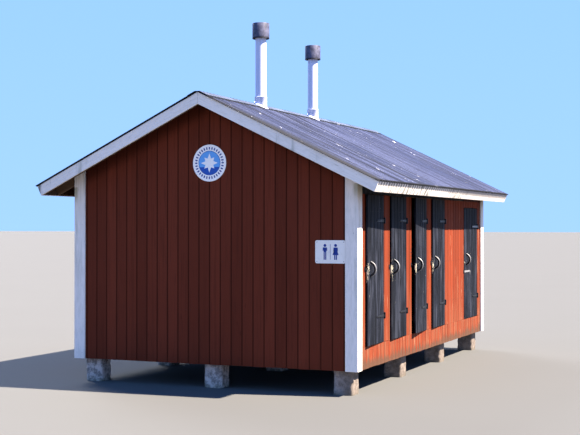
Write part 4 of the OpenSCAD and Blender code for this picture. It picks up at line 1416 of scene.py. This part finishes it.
class OUTBUILDING_OT_roofing(bpy.types.Operator):
    """Lay the corrugated sheets, the ridge cap and the roofing screws"""

    bl_idname = "outbuilding.roofing"
    bl_label = "Roofing"

    def execute(self, context):
        s = context.scene.outbuilding_roof
        for name, side in SIDES.items():
            self.slope(s, side, name)
        self.cap()
        return {"FINISHED"}

    def slope(self, s, side, name):
        """The sheets of one slope and the screws on their crests."""
        node = f"{name}_roof_sheets"
        low, high = own_box(node, slope_place(side))
        depth = high.y - low.y - s.sheet_t
        reach, width = high.x, SHEET_HIGH.y - SHEET_LOW.y
        made = grow(corrugated_sheets(), bpy.data.meshes.new("empty"), "roof", 81,
                    {"Length": reach, "Width": width, "Wave pitch": s.wave_pitch,
                     "Wave depth": depth, "Cover": s.waves * s.wave_pitch, "Lap": s.lap,
                     "Ragged": s.ragged, "Dent": s.dent})
        # Keeps the thickness of the sheets inside the box of their solid
        inset = 0.0003
        with opened(made) as bm:
            bmesh.ops.solidify(bm, geom=bm.faces, thickness=s.sheet_t)
            lowest = min(v.co.z for v in bm.verts)
            bmesh.ops.translate(bm, verts=bm.verts, vec=(0, 0, -lowest))
            for face in bm.faces:
                face.material_index = int(face.normal.z < 0.2)
            for v in bm.verts:
                v.co.x = min(max(v.co.x, inset), reach - 5 * inset)
                v.co.y = min(max(v.co.y, inset), width - inset)
        painted(made, "roof", "roof_under")
        down, out = slope_axes(side)
        start = Vector((0, SHEET_LOW.y if side > 0 else SHEET_HIGH.y, 0))
        turn = Matrix((down, out.cross(down), out)).transposed().to_4x4()
        place = Matrix.Translation(on_slope(side, 0, -high.y) + start) @ turn
        add_piece(f"{name}_roofing", moved(made, place), stands_for=(node,),
                  smooth_under=60)
        self.screws(s, name, place, depth, reach, width)

    def screws(self, s, name, place, depth, reach, width):
        """Screws with washers on every sixth crest, in rows across the slope."""
        r, washer_t, rim_t, head_t = s.screw_r, 0.0022, 0.0016, 0.0065
        profile = [(0.0, 0.0), (r, 0.0), (r, rim_t), (r * 0.6, washer_t), (r * 0.5, washer_t),
                   (r * 0.5, head_t), (0.0, head_t)]
        head = moved(lathe(profile, 6, closed=False), TO_FRONT)
        step = 6 * s.wave_pitch
        rows, above, below = 4, 0.20, 0.08
        made = lay_fasteners(head, "zinc", 83, (s.wave_pitch / 2, step, int(width / step)),
                             (above, (reach - above - below) / (rows - 1), rows), 0.002, NO_VERGE)
        flat = placed((0, width, depth - 0.001), (0, 0, -1), (1, 0, 0))
        add_piece(f"{name}_roof_screws", moved(made, place @ flat))

    def cap(self):
        """The folded ridge cap in lengths that lap, with hemmed edges and a rounded fold."""
        lengths, lap, step = 4, 0.07, 0.0006
        hem, hem_t, sheet_t = 0.010, 0.003, 0.0022
        fold, fold_end, fold_drop = 0.03, 0.012, 0.0012
        front, rear = CAP_LOW.y, CAP_HIGH.y
        each = (rear - front) / lengths
        w = (CAP_HIGH.z - RIDGE_Z) * math.cos(PITCH) - sheet_t
        wing = CAP_HIGH.x / math.cos(PITCH) - w * math.tan(PITCH)
        under = w - hem_t - sheet_t
        section = [(wing - hem, under), (wing, w - hem_t), (wing, w), (fold, w),
                   (fold_end, w - fold_drop)]
        line = [on_slope(-1, *point) for point in section]
        line += [on_slope(1, *point) for point in reversed(section)]
        meshes = []
        for k in range(lengths):
            lift = step * (k % 2) - step
            near = front + k * each - (lap if k else 0.0)
            meshes.append(ribbon([(p.x, p.z + lift) for p in line], near, front + (k + 1) * each,
                                 sheet_t))
        mesh = painted(joined(meshes), "cap")
        add_piece("ridge_capping", mesh, stands_for=("ridge_cap",), grain=85)
        self.filler(wing, under)

    def filler(self, wing, top):
        """Dark strips that close the waves under the two edges of the cap, put there as painted
        shade for the gaps under it.
        """
        bottom = -own_box("right_roof_boards", slope_place(1))[0].y
        inner, outer, end = wing - 0.04, wing - 0.003, 0.002
        meshes = []
        for side in (-1, 1):
            corners = [on_slope(side, inner, bottom), on_slope(side, outer, bottom),
                       on_slope(side, outer, top), on_slope(side, inner, top)]
            meshes.append(prism([(p.x, p.z) for p in corners], CAP_LOW.y + end, CAP_HIGH.y - end))
        add_piece("ridge_shade_filler", painted(joined(meshes), "roof_under"))


def ribbon(outline, y_low, y_high, thickness):
    """A folded sheet with an outline of X, Z points, from one Y to another."""
    bm = bmesh.new()
    near = [bm.verts.new((x, y_low, z)) for x, z in outline]
    far = [bm.verts.new((x, y_high, z)) for x, z in outline]
    bridge(bm, far, near, closed=False)
    return thickened(bm, thickness)


class OUTBUILDING_OT_vents(bpy.types.Operator):
    """Make the vent pipes, their cowls and the collars where they leave the roof"""

    bl_idname = "outbuilding.vents"
    bl_label = "Vents"

    def execute(self, context):
        for name in ("front", "rear"):
            self.pipe(name)
            self.cowl(name)
        meshes = [self.collar(name) for name in ("front", "rear")]
        add_piece("vent_sleeves", painted(joined(meshes), "vent"),
                  stands_for=("vent_collars",))
        return {"FINISHED"}

    def middle(self, node):
        """The axis, radius and ends of a round upright node."""
        low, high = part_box(node)
        axis = (low + high) / 2
        return Vector((axis.x, axis.y, 0)), (high.x - low.x) / 2, low.z, high.z

    def pipe(self, name):
        """A pipe with eased ends."""
        wall, ease = 0.005, 0.0015
        node = f"{name}_vent_pipe"
        axis, r, low, high = self.middle(node)
        profile = [(r - ease, high), (r, high - ease), (r, low + ease), (r - ease, low),
                   (r - wall, low), (r - wall, high)]
        mesh = moved(lathe(profile), Matrix.Translation(axis))
        add_piece(f"{name}_vent_tube", painted(mesh, "vent"), stands_for=(node,))

    def cowl(self, name):
        """A cap with a rolled lower rim, a dished top and the spacers inside it."""
        wall, bead, neck = 0.003, 0.0045, 0.0012
        node = f"{name}_vent_cowl"
        axis, r, low, high = self.middle(node)
        _, pipe_r, _, _ = self.middle(f"{name}_vent_pipe")
        inner = r - wall - 0.001
        under = high - 0.010
        rim = [(r - bead + bead * math.sin(a), low + bead - bead * math.cos(a))
               for a in np.linspace(math.pi * 0.9, 0.0, 7)]
        profile = [(0.0, high - 0.006), (r * 0.8, high - 0.005), (r * 0.93, high),
                   (r - 0.003, high), (r - neck, high - 0.003), (r - neck, low + 2.2 * bead),
                   *rim, (r - bead - wall, low + 0.001), (inner, low + 2 * bead),
                   (inner, under), (0.0, under)]
        meshes = [lathe(profile, closed=False)]
        touch, foot, top, half_t = pipe_r + 0.0005, low + 0.03, low + 0.116, 0.01
        for turn in (30, 150, 270):
            spacer = prism([(touch, foot), (r - wall, foot), (r - wall, top), (touch, top)],
                           -half_t, half_t)
            meshes.append(moved(spacer, Matrix.Rotation(math.radians(turn), 4, "Z")))
        mesh = moved(joined(meshes), Matrix.Translation(axis))
        add_piece(f"{name}_vent_cap", painted(mesh, "cowl"), stands_for=(node,))

    def collar(self, name):
        """A sleeve with a rolled lip, on a skirt that lies on the roof."""
        axis, r, _, _ = self.middle(f"{name}_vent_pipe")
        _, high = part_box("vent_collars")
        outer, top = high.x - axis.x, high.z
        lip = 0.006
        foot = RIDGE_Z - 0.15
        sleeve = [(r, foot), (outer, foot), (outer, top - 2 * lip),
                  (outer + lip * 0.5, top - 1.4 * lip), (outer + lip * 0.5, top - 0.4 * lip),
                  (outer - lip * 0.3, top), (r, top)]
        return joined([moved(lathe(sleeve), Matrix.Translation(axis)), self.skirt(axis, outer)])

    def skirt(self, axis, radius):
        """The flashing round a sleeve, dressed to the slopes of the roof."""
        steps = 96
        bm = bmesh.new()
        rows = []
        for out, lift in ((0.0, 0.022), (0.006, 0.010), (0.012, 0.004), (0.020, 0.0022)):
            row = []
            for step in range(steps):
                turn = math.tau * step / steps
                x = axis.x + (radius + out) * math.cos(turn)
                y = axis.y + (radius + out) * math.sin(turn)
                row.append(bm.verts.new((x, y, CAP_HIGH.z - abs(x) * SLOPE + lift)))
            rows.append(row)
        for inner, outer in zip(rows, rows[1:]):
            bridge(bm, inner, outer)
        return thickened(bm, 0.0018)


def disc(radius, thickness, bevel=0.0008, steps=96):
    """A round plate in the XZ plane that stands out towards -Y from Y = 0."""
    profile = [(0.0, 0.0), (radius, 0.0), (radius, thickness - bevel), (radius - bevel, thickness),
               (0.0, thickness)]
    return moved(lathe(profile, steps, closed=False), TO_FRONT)


def head_at(place, radius, height, finish_name):
    """The domed head of a screw or bolt at a place."""
    return painted(moved(dome(radius, height), place), finish_name)


def raised(outline, relief, out, finish_name):
    """A thin flat shape on a plate, with its back so far out from the wall."""
    shape = prism(outline, -relief, 0.0)
    return painted(moved(shape, Matrix.Translation((0, -out, 0))), finish_name)


def plate_box(node):
    """The place of a wall plate's back, half its width and height, and its thickness."""
    low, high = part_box(node)
    middle = (low + high) / 2
    half = (high - low) / 2
    return Matrix.Translation((middle.x, high.y, middle.z)), half.x, half.z, high.y - low.y


def rounded(half_x, half_z, radius):
    """The outline of a rectangle with round corners, as X, Z points."""
    steps = 8
    points = []
    for quarter, (sx, sz) in enumerate(((1, 1), (-1, 1), (-1, -1), (1, -1))):
        for k in range(steps + 1):
            turn = math.pi / 2 * (quarter + k / steps)
            points.append((sx * (half_x - radius) + radius * math.cos(turn),
                           sz * (half_z - radius) + radius * math.sin(turn)))
    return points


class OUTBUILDING_OT_plates(bpy.types.Operator):
    """Make the sign with its two figures and the round plate with its star"""

    bl_idname = "outbuilding.plates"
    bl_label = "Sign and round plate"

    def execute(self, context):
        self.sign()
        self.round_plate()
        return {"FINISHED"}

    def sign(self):
        """A white sign with round corners, two plain figures and four screws."""
        corner, bevel, relief = 0.022, 0.0008, 0.0009
        place, half_x, half_z, thick = plate_box("sign_plate")
        plate = prism(rounded(half_x, half_z, corner), -thick, 0.0)
        with opened(plate) as bm:
            front = [e for e in bm.edges
                     if e.calc_face_angle(0) > 1 and max(v.co.y for v in e.verts) < -1e-4]
            bmesh.ops.bevel(bm, geom=front, offset=bevel, segments=1, affect="EDGES")
        tall = half_z * 2 * 0.68
        meshes = [painted(plate, "sign_white")]
        for x, flare in ((-tall * 0.36, 0.0), (tall * 0.36, tall * 0.12)):
            head_r = tall * 0.095
            spot = Matrix.Translation((x, -thick, tall / 2 - head_r))
            meshes.append(painted(moved(disc(head_r, relief, 0.0002, 32), spot), "sign_blue"))
            body = [(x + px, pz) for px, pz in self.body(tall, head_r, flare)]
            meshes.append(raised(body, relief, thick, "sign_blue"))
        bar, end = tall * 0.012, tall / 2
        meshes.append(raised([(-bar, -end), (bar, -end), (bar, end), (-bar, end)], relief, thick,
                             "sign_blue"))
        for x in (-1, 1):
            for z in (-1, 1):
                spot = Matrix.Translation((x * (half_x - corner), -thick, z * (half_z - corner)))
                meshes.append(head_at(spot, 0.0055, 0.002, "zinc"))
        add_piece("sign_with_figures", moved(joined(meshes), place),
                  stands_for=("sign_plate",))

    def body(self, tall, head_r, flare):
        """The outline of a standing figure below its head, with or without a skirt."""
        shoulder = tall / 2 - 2.35 * head_r
        hip, foot = -tall * 0.02, -tall / 2
        half, leg, split = tall * 0.15, tall * 0.075, tall * 0.018
        right = [(half * 0.85, shoulder), (half, shoulder - tall * 0.05),
                 (half, hip + tall * 0.08), (half * 0.72, hip + tall * 0.06),
                 (half * 0.6, shoulder - tall * 0.12)]
        if flare:
            hem, knee = half * 0.55 + flare, -tall * 0.20
            right += [(hem, knee), (leg + split, knee), (leg + split, foot), (split, foot),
                      (split, knee)]
        else:
            right += [(half * 0.6, foot), (split, foot), (split, hip)]
        return right + [(-x, z) for x, z in reversed(right)]

    def round_plate(self):
        """A white ring with a circle of marks round two blue fields and a star of eight points."""
        place, radius, _, thick = plate_box("round_plate")
        step = 0.0007
        ring = radius * 0.80
        layers = ((radius, thick, "plate_white"), (radius * 0.665, thick + step * 1.2, "sign_blue"),
                  (radius * 0.645, thick + step * 1.6, "plate_sky"))
        meshes = [painted(disc(r, t), name) for r, t, name in layers]
        half_w, half_h = 0.008, 0.016
        mark = prism([(-half_w, -half_h), (half_w, -half_h), (half_w, half_h), (-half_w, half_h)],
                     -step, 0.0)
        marks = grow(ring_of_marks(), mark, "sign_blue", 1, {"Radius": ring, "Count": 32})
        meshes.append(moved(marks, Matrix.Translation((0, -thick, 0))))
        # The lower part of the field, below a level line
        field = radius * 0.64
        rise = math.pi / 2 - 0.35
        bowl = [(field * math.sin(a), -field * math.cos(a)) for a in np.linspace(-rise, rise, 33)]
        meshes.append(raised(bowl, step * 0.4, thick + step * 1.6, "plate_blue"))
        star = []
        for k in range(16):
            reach = radius * (0.52 if k % 4 == 0 else 0.42 if k % 2 == 0 else 0.26)
            turn = math.tau * k / 16
            star.append((reach * math.sin(turn), reach * math.cos(turn)))
        meshes.append(raised(star, step, thick + step * 2, "plate_white"))
        for x in (-ring, ring):
            spot = Matrix.Translation((x * math.cos(0.098), -thick - step, radius * 0.078))
            meshes.append(head_at(spot, 0.005, 0.002, "zinc"))
        add_piece("round_plate_with_star", moved(joined(meshes), place),
                  stands_for=("round_plate",))


class OUTBUILDING_OT_doors(bpy.types.Operator):
    """Make the planks, ledges, braces and nails of the five doors"""

    bl_idname = "outbuilding.doors"
    bl_label = "Doors"

    def execute(self, context):
        s = context.scene.outbuilding_boards
        for number, name in enumerate(DOOR_NAMES, 1):
            self.door(s, name, number)
        return {"FINISHED"}

    def door(self, s, name, number):
        """One door in its own axes, put on its hinge line at the end."""
        place = door_place(name)
        low, high = own_box(name, place)
        pitch = (high.y - low.y) / s.plank_count
        joint, chamfer, push, ragged = 0.004, 0.0045, 0.0012, 0.004
        unit = board_unit(pitch, s.plank_t - push, joint, chamfer, s.plank_t * 0.4)
        planks = lay_boards(unit, "tarred_worn", 90 + number, (low.y, high.y), (low.z, high.z),
                            pitch, low.y, push=push, ragged=ragged)
        face = placed((high.x, 0, 0), (-1, 0, 0))
        back = self.back_frame(low, high, high.x - s.plank_t)
        mesh = joined([with_grain(moved(planks, face), number), with_grain(back, number + 10)])
        self.mark_rub(mesh, low, number)
        add_piece(f"{name}_planks", moved(stood_off(mesh, name), place), name,
                  stands_for=(name,))
        nails = self.nails(s, low, high, pitch, face, number)
        add_piece(f"{name}_nails", moved(stood_off(nails, name), place), name)

    def back_frame(self, low, high, back):
        """Three ledges and two braces between the back of the planks and the door's own back."""
        ledge_h, end, inset, gap, bevel = 0.11, 0.15, 0.035, 0.0005, 0.002
        tall = high.z - low.z
        heights = [end, tall / 2 - ledge_h / 2, tall - end - ledge_h]
        y1, y2 = low.y + inset, high.y - inset
        boards = [[(y1, z), (y2, z), (y2, z + ledge_h), (y1, z + ledge_h)] for z in heights]
        for below, z_high in zip(heights, heights[1:]):
            z_low = below + ledge_h
            boards.append([(y2 - ledge_h, z_low), (y2, z_low), (y1 + ledge_h, z_high),
                           (y1, z_high)])
        bm = bmesh.new()
        for board in boards:
            add_prism(bm, [(low.x, y, z) for y, z in board], [(back - gap, y, z) for y, z in board])
        bmesh.ops.recalc_face_normals(bm, faces=bm.faces)
        sharp = [e for e in bm.edges if e.calc_face_angle(0) > 0.6]
        bmesh.ops.bevel(bm, geom=sharp, offset=bevel, segments=1, affect="EDGES")
        return painted(from_bmesh(bm), "tarred")

    def mark_rub(self, mesh, low, number):
        """Marks how far hands have rubbed each point, most beside the handle at the free edge."""
        centre, reach_y = 0.90, 0.045
        reach_z = 0.08 if number == 5 else 0.20
        near_edge = low.y + 0.3
        with opened(mesh) as bm:
            long_edges = [e for e in bm.edges
                          if e.calc_length() > 0.5 and max(v.co.y for v in e.verts) < near_edge]
            bmesh.ops.subdivide_edges(bm, edges=long_edges, cuts=48, use_grid_fill=True)
            rub = bm.verts.layers.float.new("rub")
            for v in bm.verts:
                dy = (v.co.y - low.y) / reach_y
                dz = (v.co.z - low.z - centre) / reach_z
                v[rub] = max(0.0, 1.02 - math.hypot(dy, dz))

    def nails(self, s, low, high, pitch, face, number):
        """Nails through the planks into each ledge."""
        tall = high.z - low.z
        end = 0.205
        columns = (low.y + pitch * 0.25, pitch / 2, 2 * s.plank_count)
        return joined([
            nail_rows(s, face, columns, (low.z + z, 0.05, 1), "iron", 100 + number * 5 + k,
                      size=1.1)
            for k, z in enumerate((end, tall / 2, tall - end))
        ])


class OUTBUILDING_OT_ironwork(bpy.types.Operator):
    """Finish the hinges, handles, keepers and hasp, and put in their bolts"""

    bl_idname = "outbuilding.ironwork"
    bl_label = "Ironwork"

    def execute(self, context):
        for name in DOOR_NAMES:
            self.door_iron(name)
        for node in ("hinge_plates", "latch_keepers"):
            add_piece(f"{node}_iron", painted(eased(node, 0.0008), "iron"),
                      stands_for=(node,))
        self.plate_screws()
        return {"FINISHED"}

    def door_iron(self, name):
        """A door's straps, handle and hasp with their bolts, in its own axes."""
        # A strap reaches the hinge, a handle is taller than a hasp, and one strap is near the top
        hinge_y, hasp_h, top_part = -0.01, 0.12, 0.2
        place = door_place(name)
        mesh = moved(eased(f"{name}_ironwork", 0.0009), place.inverted())
        painted(mesh, "iron", "zinc")
        meshes = [mesh]
        with opened(mesh) as bm:
            solids = islands(bm)
            top = max(solid_middle(solid).z for solid in solids)
            for solid in solids:
                low, high = solid_box(solid)
                middle = (low + high) / 2
                kind = ("strap" if high.y > hinge_y else
                        "handle" if high.z - low.z > hasp_h else "hasp")
                # The fifth door's hasp and top strap are newer than the rest
                bright = name == "door_5" and (
                    kind == "hasp" or kind == "strap" and middle.z > top - top_part)
                for face in solid:
                    face.material_index = int(bright)
                if kind == "handle":
                    meshes.append(self.bow(low, high))
                    bmesh.ops.delete(bm, geom=list({v for face in solid for v in face.verts}),
                                     context="VERTS")
                if kind == "hasp" and bright:
                    spot = Matrix.Translation((high.x + 0.005, high.y - 0.010, middle.z))
                    meshes.append(painted(moved(self.pin(), spot), "zinc"))
                for y, z, x in self.bolt_spots(kind, low, high):
                    spot = Matrix.Translation((x, y, z)) @ TO_DOOR_SIDE
                    meshes.append(head_at(spot, 0.0065, 0.0035, "zinc" if bright else "iron"))
        add_piece(f"{name}_fittings", moved(stood_off(joined(meshes), name), place), name,
                  stands_for=(f"{name}_ironwork",))

    def pin(self):
        """The pin that hangs in the hasp, with an eased foot and a domed top."""
        r, foot, top = 0.005, -0.058, 0.004
        profile = [(0.0, foot), (r * 0.7, foot), (r, foot + 0.004), (r, top), (0.0, top + 0.004)]
        return lathe(profile, 12, closed=False)

    def bow(self, low, high):
        """A bow handle of flat bar on two feet, bright on its outside: worn where hands hold it,
        and a painted highlight.
        """
        foot = high.y - low.y
        reach = high.x - low.x
        half_h = (high.z - low.z - foot) / 2
        chord = half_h + 0.005
        radius = (chord ** 2 + reach ** 2) / (2 * reach)
        half_turn = math.asin(chord / radius)
        deep, half_w, ease, foot_t = 0.030, 0.013, 0.006, 0.004
        steps = 32
        # Depth and width of each corner of the bar. The first two and the last start bright faces
        section = [(0, -half_w + ease), (0, half_w - ease), (-ease, half_w), (-deep + ease, half_w),
                   (-deep, half_w - ease), (-deep, -half_w + ease), (-deep + ease, -half_w),
                   (-ease, -half_w)]
        middle = Vector((low.x, (low.y + high.y) / 2, (low.z + high.z) / 2))
        bm = bmesh.new()
        rings = []
        for step in range(steps + 1):
            turn = half_turn * (2 * step / steps - 1)
            ring = []
            for depth, width in section:
                r = radius + depth
                x = max(0.0, reach - radius + r * math.cos(turn))
                ring.append(bm.verts.new(middle + Vector((x, width, r * math.sin(turn)))))
            rings.append(ring)
        for here, there in zip(rings, rings[1:]):
            for k in range(len(section)):
                after = (k + 1) % len(section)
                face = bm.faces.new((here[k], here[after], there[after], there[k]))
                # The outside faces take the lighter handle finish: wear and a painted highlight
                face.material_index = int(k in (0, 1, 7))
        bm.faces.new(rings[0])
        bm.faces.new(rings[-1][::-1])
        for end in (-1, 1):
            centre = middle + Vector((foot_t / 2, 0, end * half_h))
            made = bmesh.ops.create_cube(bm, size=1.0)
            for v in made["verts"]:
                v.co = centre + Vector((v.co.x * foot_t, v.co.y * foot, v.co.z * foot))
        bmesh.ops.recalc_face_normals(bm, faces=bm.faces)
        return painted(from_bmesh(bm), "iron", "handle_iron")

    def bolt_spots(self, kind, low, high):
        """The Y, Z and X of the bolts of one fitting."""
        planks = -0.009
        on_strap, on_foot = planks + 0.0048, planks + 0.0038
        middle = (low + high) / 2
        if kind == "strap":
            reach = high.y - low.y
            return [(low.y + reach * share, middle.z, on_strap) for share in (0.06, 0.36, 0.66)]
        if kind == "handle":
            rise = (high.z - low.z) / 2 - 0.016
            return [(middle.y + dy, middle.z + dz, on_foot) for dz in (-rise, rise)
                    for dy in (-0.011, 0.011)]
        return [(high.y - end, middle.z, on_foot) for end in (0.016, 0.05)]

    def plate_screws(self):
        """Screws in the wall plates of the hinges and in the keepers."""
        end = 0.012
        meshes = []
        for node, share, out in (("hinge_plates", 0.62, 0.0049), ("latch_keepers", 0.5, 0.0039)):
            for low, high in solid_boxes(node):
                y = low.y + (high.y - low.y) * share
                for z in (low.z + end, high.z - end):
                    spot = Matrix.Translation((FACE_X + out, y, z)) @ TO_DOOR_SIDE
                    meshes.append(head_at(spot, 0.005, 0.002, "iron"))
        add_piece("plate_screws", joined(meshes))


class OUTBUILDING_OT_stage(bpy.types.Operator):
    """Set up the floor, the light and the camera"""

    bl_idname = "outbuilding.stage"
    bl_label = "Stage"

    def execute(self, context):
        s = context.scene.outbuilding_stage
        self.floor(s)
        self.lights(s, context.scene)
        self.camera(s, context.scene)
        context.scene.view_settings.view_transform = "Standard"
        return {"FINISHED"}

    def floor(self, s):
        """A wide plain floor."""
        half_side = 400.0
        bm = bmesh.new()
        bmesh.ops.create_grid(bm, x_segments=1, y_segments=1, size=half_side)
        mesh = from_bmesh(bm, "floor")
        f = Finish("floor")
        f.ground(f.noise(f.place(), 0.35, 3.0), shade(s.floor, 0.97), shade(s.floor, 1.03))
        mesh.materials.append(f.done(0.9))
        piece = bpy.data.objects.new("stage_floor", mesh)
        bpy.context.scene.collection.objects.link(piece)

    def lights(self, s, scene):
        """A key light from the door side, a weak one from behind and an even sky."""
        rear_turn, rear_rise = math.radians(140), math.radians(35)
        for name, turn, rise, power, colour_of, wide in (
            ("key", s.sun_turn, s.sun_rise, s.sun_power, s.sun_tint, 0.9),
            ("rear_fill", rear_turn, rear_rise, s.rear_power, (1.0, 1.0, 1.0), 25.0),
        ):
            light = bpy.data.lights.new(name, "SUN")
            light.energy = power
            light.color = colour_of[:3]
            light.angle = math.radians(wide)
            lamp = bpy.data.objects.new(name, light)
            lamp.rotation_mode = "QUATERNION"
            lamp.rotation_quaternion = self.toward(turn, rise).to_track_quat("Z", "Y")
            scene.collection.objects.link(lamp)
        world = bpy.data.worlds.new("sky")
        world.use_nodes = True
        scene.world = world
        t = Tree(world.node_tree)
        background = world.node_tree.nodes["Background"]
        _, _, rise = t.parts(t.node("ShaderNodeTexCoord", None, None, "Generated"))
        sky = t.node("ShaderNodeMix", {"data_type": "RGBA"},
                     {"Factor": t.math("MAXIMUM", rise, 0.0), "A": colour(s.sky_low),
                      "B": colour(s.sky_high)}, "Result")
        t.put(background.inputs["Color"], sky)
        t.put(background.inputs["Strength"], s.sky_power)

    def toward(self, turn, rise):
        """The way to a place by its turn from +X and its height over the horizon."""
        return Vector((math.cos(rise) * math.cos(turn), math.cos(rise) * math.sin(turn),
                       math.sin(rise)))

    def camera(self, s, scene):
        """A camera at the photograph's place."""
        camera = bpy.data.cameras.new("camera")
        camera.lens = s.lens
        camera.sensor_width = 36.0
        camera.clip_end = 1000.0
        piece = bpy.data.objects.new("camera", camera)
        piece.location = (s.camera_x, s.camera_y, s.camera_z)
        forward = self.toward(s.yaw + math.pi / 2, s.rise)
        piece.rotation_euler = forward.to_track_quat("-Z", "Y").to_euler()
        scene.collection.objects.link(piece)
        scene.camera = piece


OPERATORS = (
    OUTBUILDING_OT_stage,
    OUTBUILDING_OT_gables,
    OUTBUILDING_OT_side_walls,
    OUTBUILDING_OT_frame,
    OUTBUILDING_OT_floor,
    OUTBUILDING_OT_piers,
    OUTBUILDING_OT_trim,
    OUTBUILDING_OT_roofing,
    OUTBUILDING_OT_vents,
    OUTBUILDING_OT_plates,
    OUTBUILDING_OT_doors,
    OUTBUILDING_OT_ironwork,
)


class OUTBUILDING_PT_panel(bpy.types.Panel):
    """The outbuilding's pieces and settings in the sidebar."""

    bl_idname = "OUTBUILDING_PT_panel"
    bl_label = "Timber outbuilding"
    bl_space_type = "VIEW_3D"
    bl_region_type = "UI"
    bl_category = "Outbuilding"

    def draw(self, context):
        for operator in OPERATORS:
            self.layout.operator(operator.bl_idname)
        for group in SETTINGS:
            box = self.layout.box()
            for name in SETTINGS[group].__annotations__:
                box.prop(getattr(context.scene, group), name)


SETTINGS = {
    "outbuilding_boards": OutbuildingBoards,
    "outbuilding_roof": OutbuildingRoof,
    "outbuilding_colours": OutbuildingColours,
    "outbuilding_stage": OutbuildingStage,
}


def register():
    """Registers the settings, the operators and the panel."""
    for group, kind in SETTINGS.items():
        bpy.utils.register_class(kind)
        setattr(bpy.types.Scene, group, bpy.props.PointerProperty(type=kind))
    for operator in OPERATORS:
        bpy.utils.register_class(operator)
    bpy.utils.register_class(OUTBUILDING_PT_panel)


def unregister():
    """Takes the panel, the operators and the settings away again."""
    bpy.utils.unregister_class(OUTBUILDING_PT_panel)
    for operator in reversed(OPERATORS):
        bpy.utils.unregister_class(operator)
    for group, kind in SETTINGS.items():
        delattr(bpy.types.Scene, group)
        bpy.utils.unregister_class(kind)


def main():
    """Makes every piece."""
    register()
    for operator in OPERATORS:
        section, name = operator.bl_idname.split(".")
        getattr(getattr(bpy.ops, section), name)()
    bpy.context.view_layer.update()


if __name__ == "__main__":
    main()
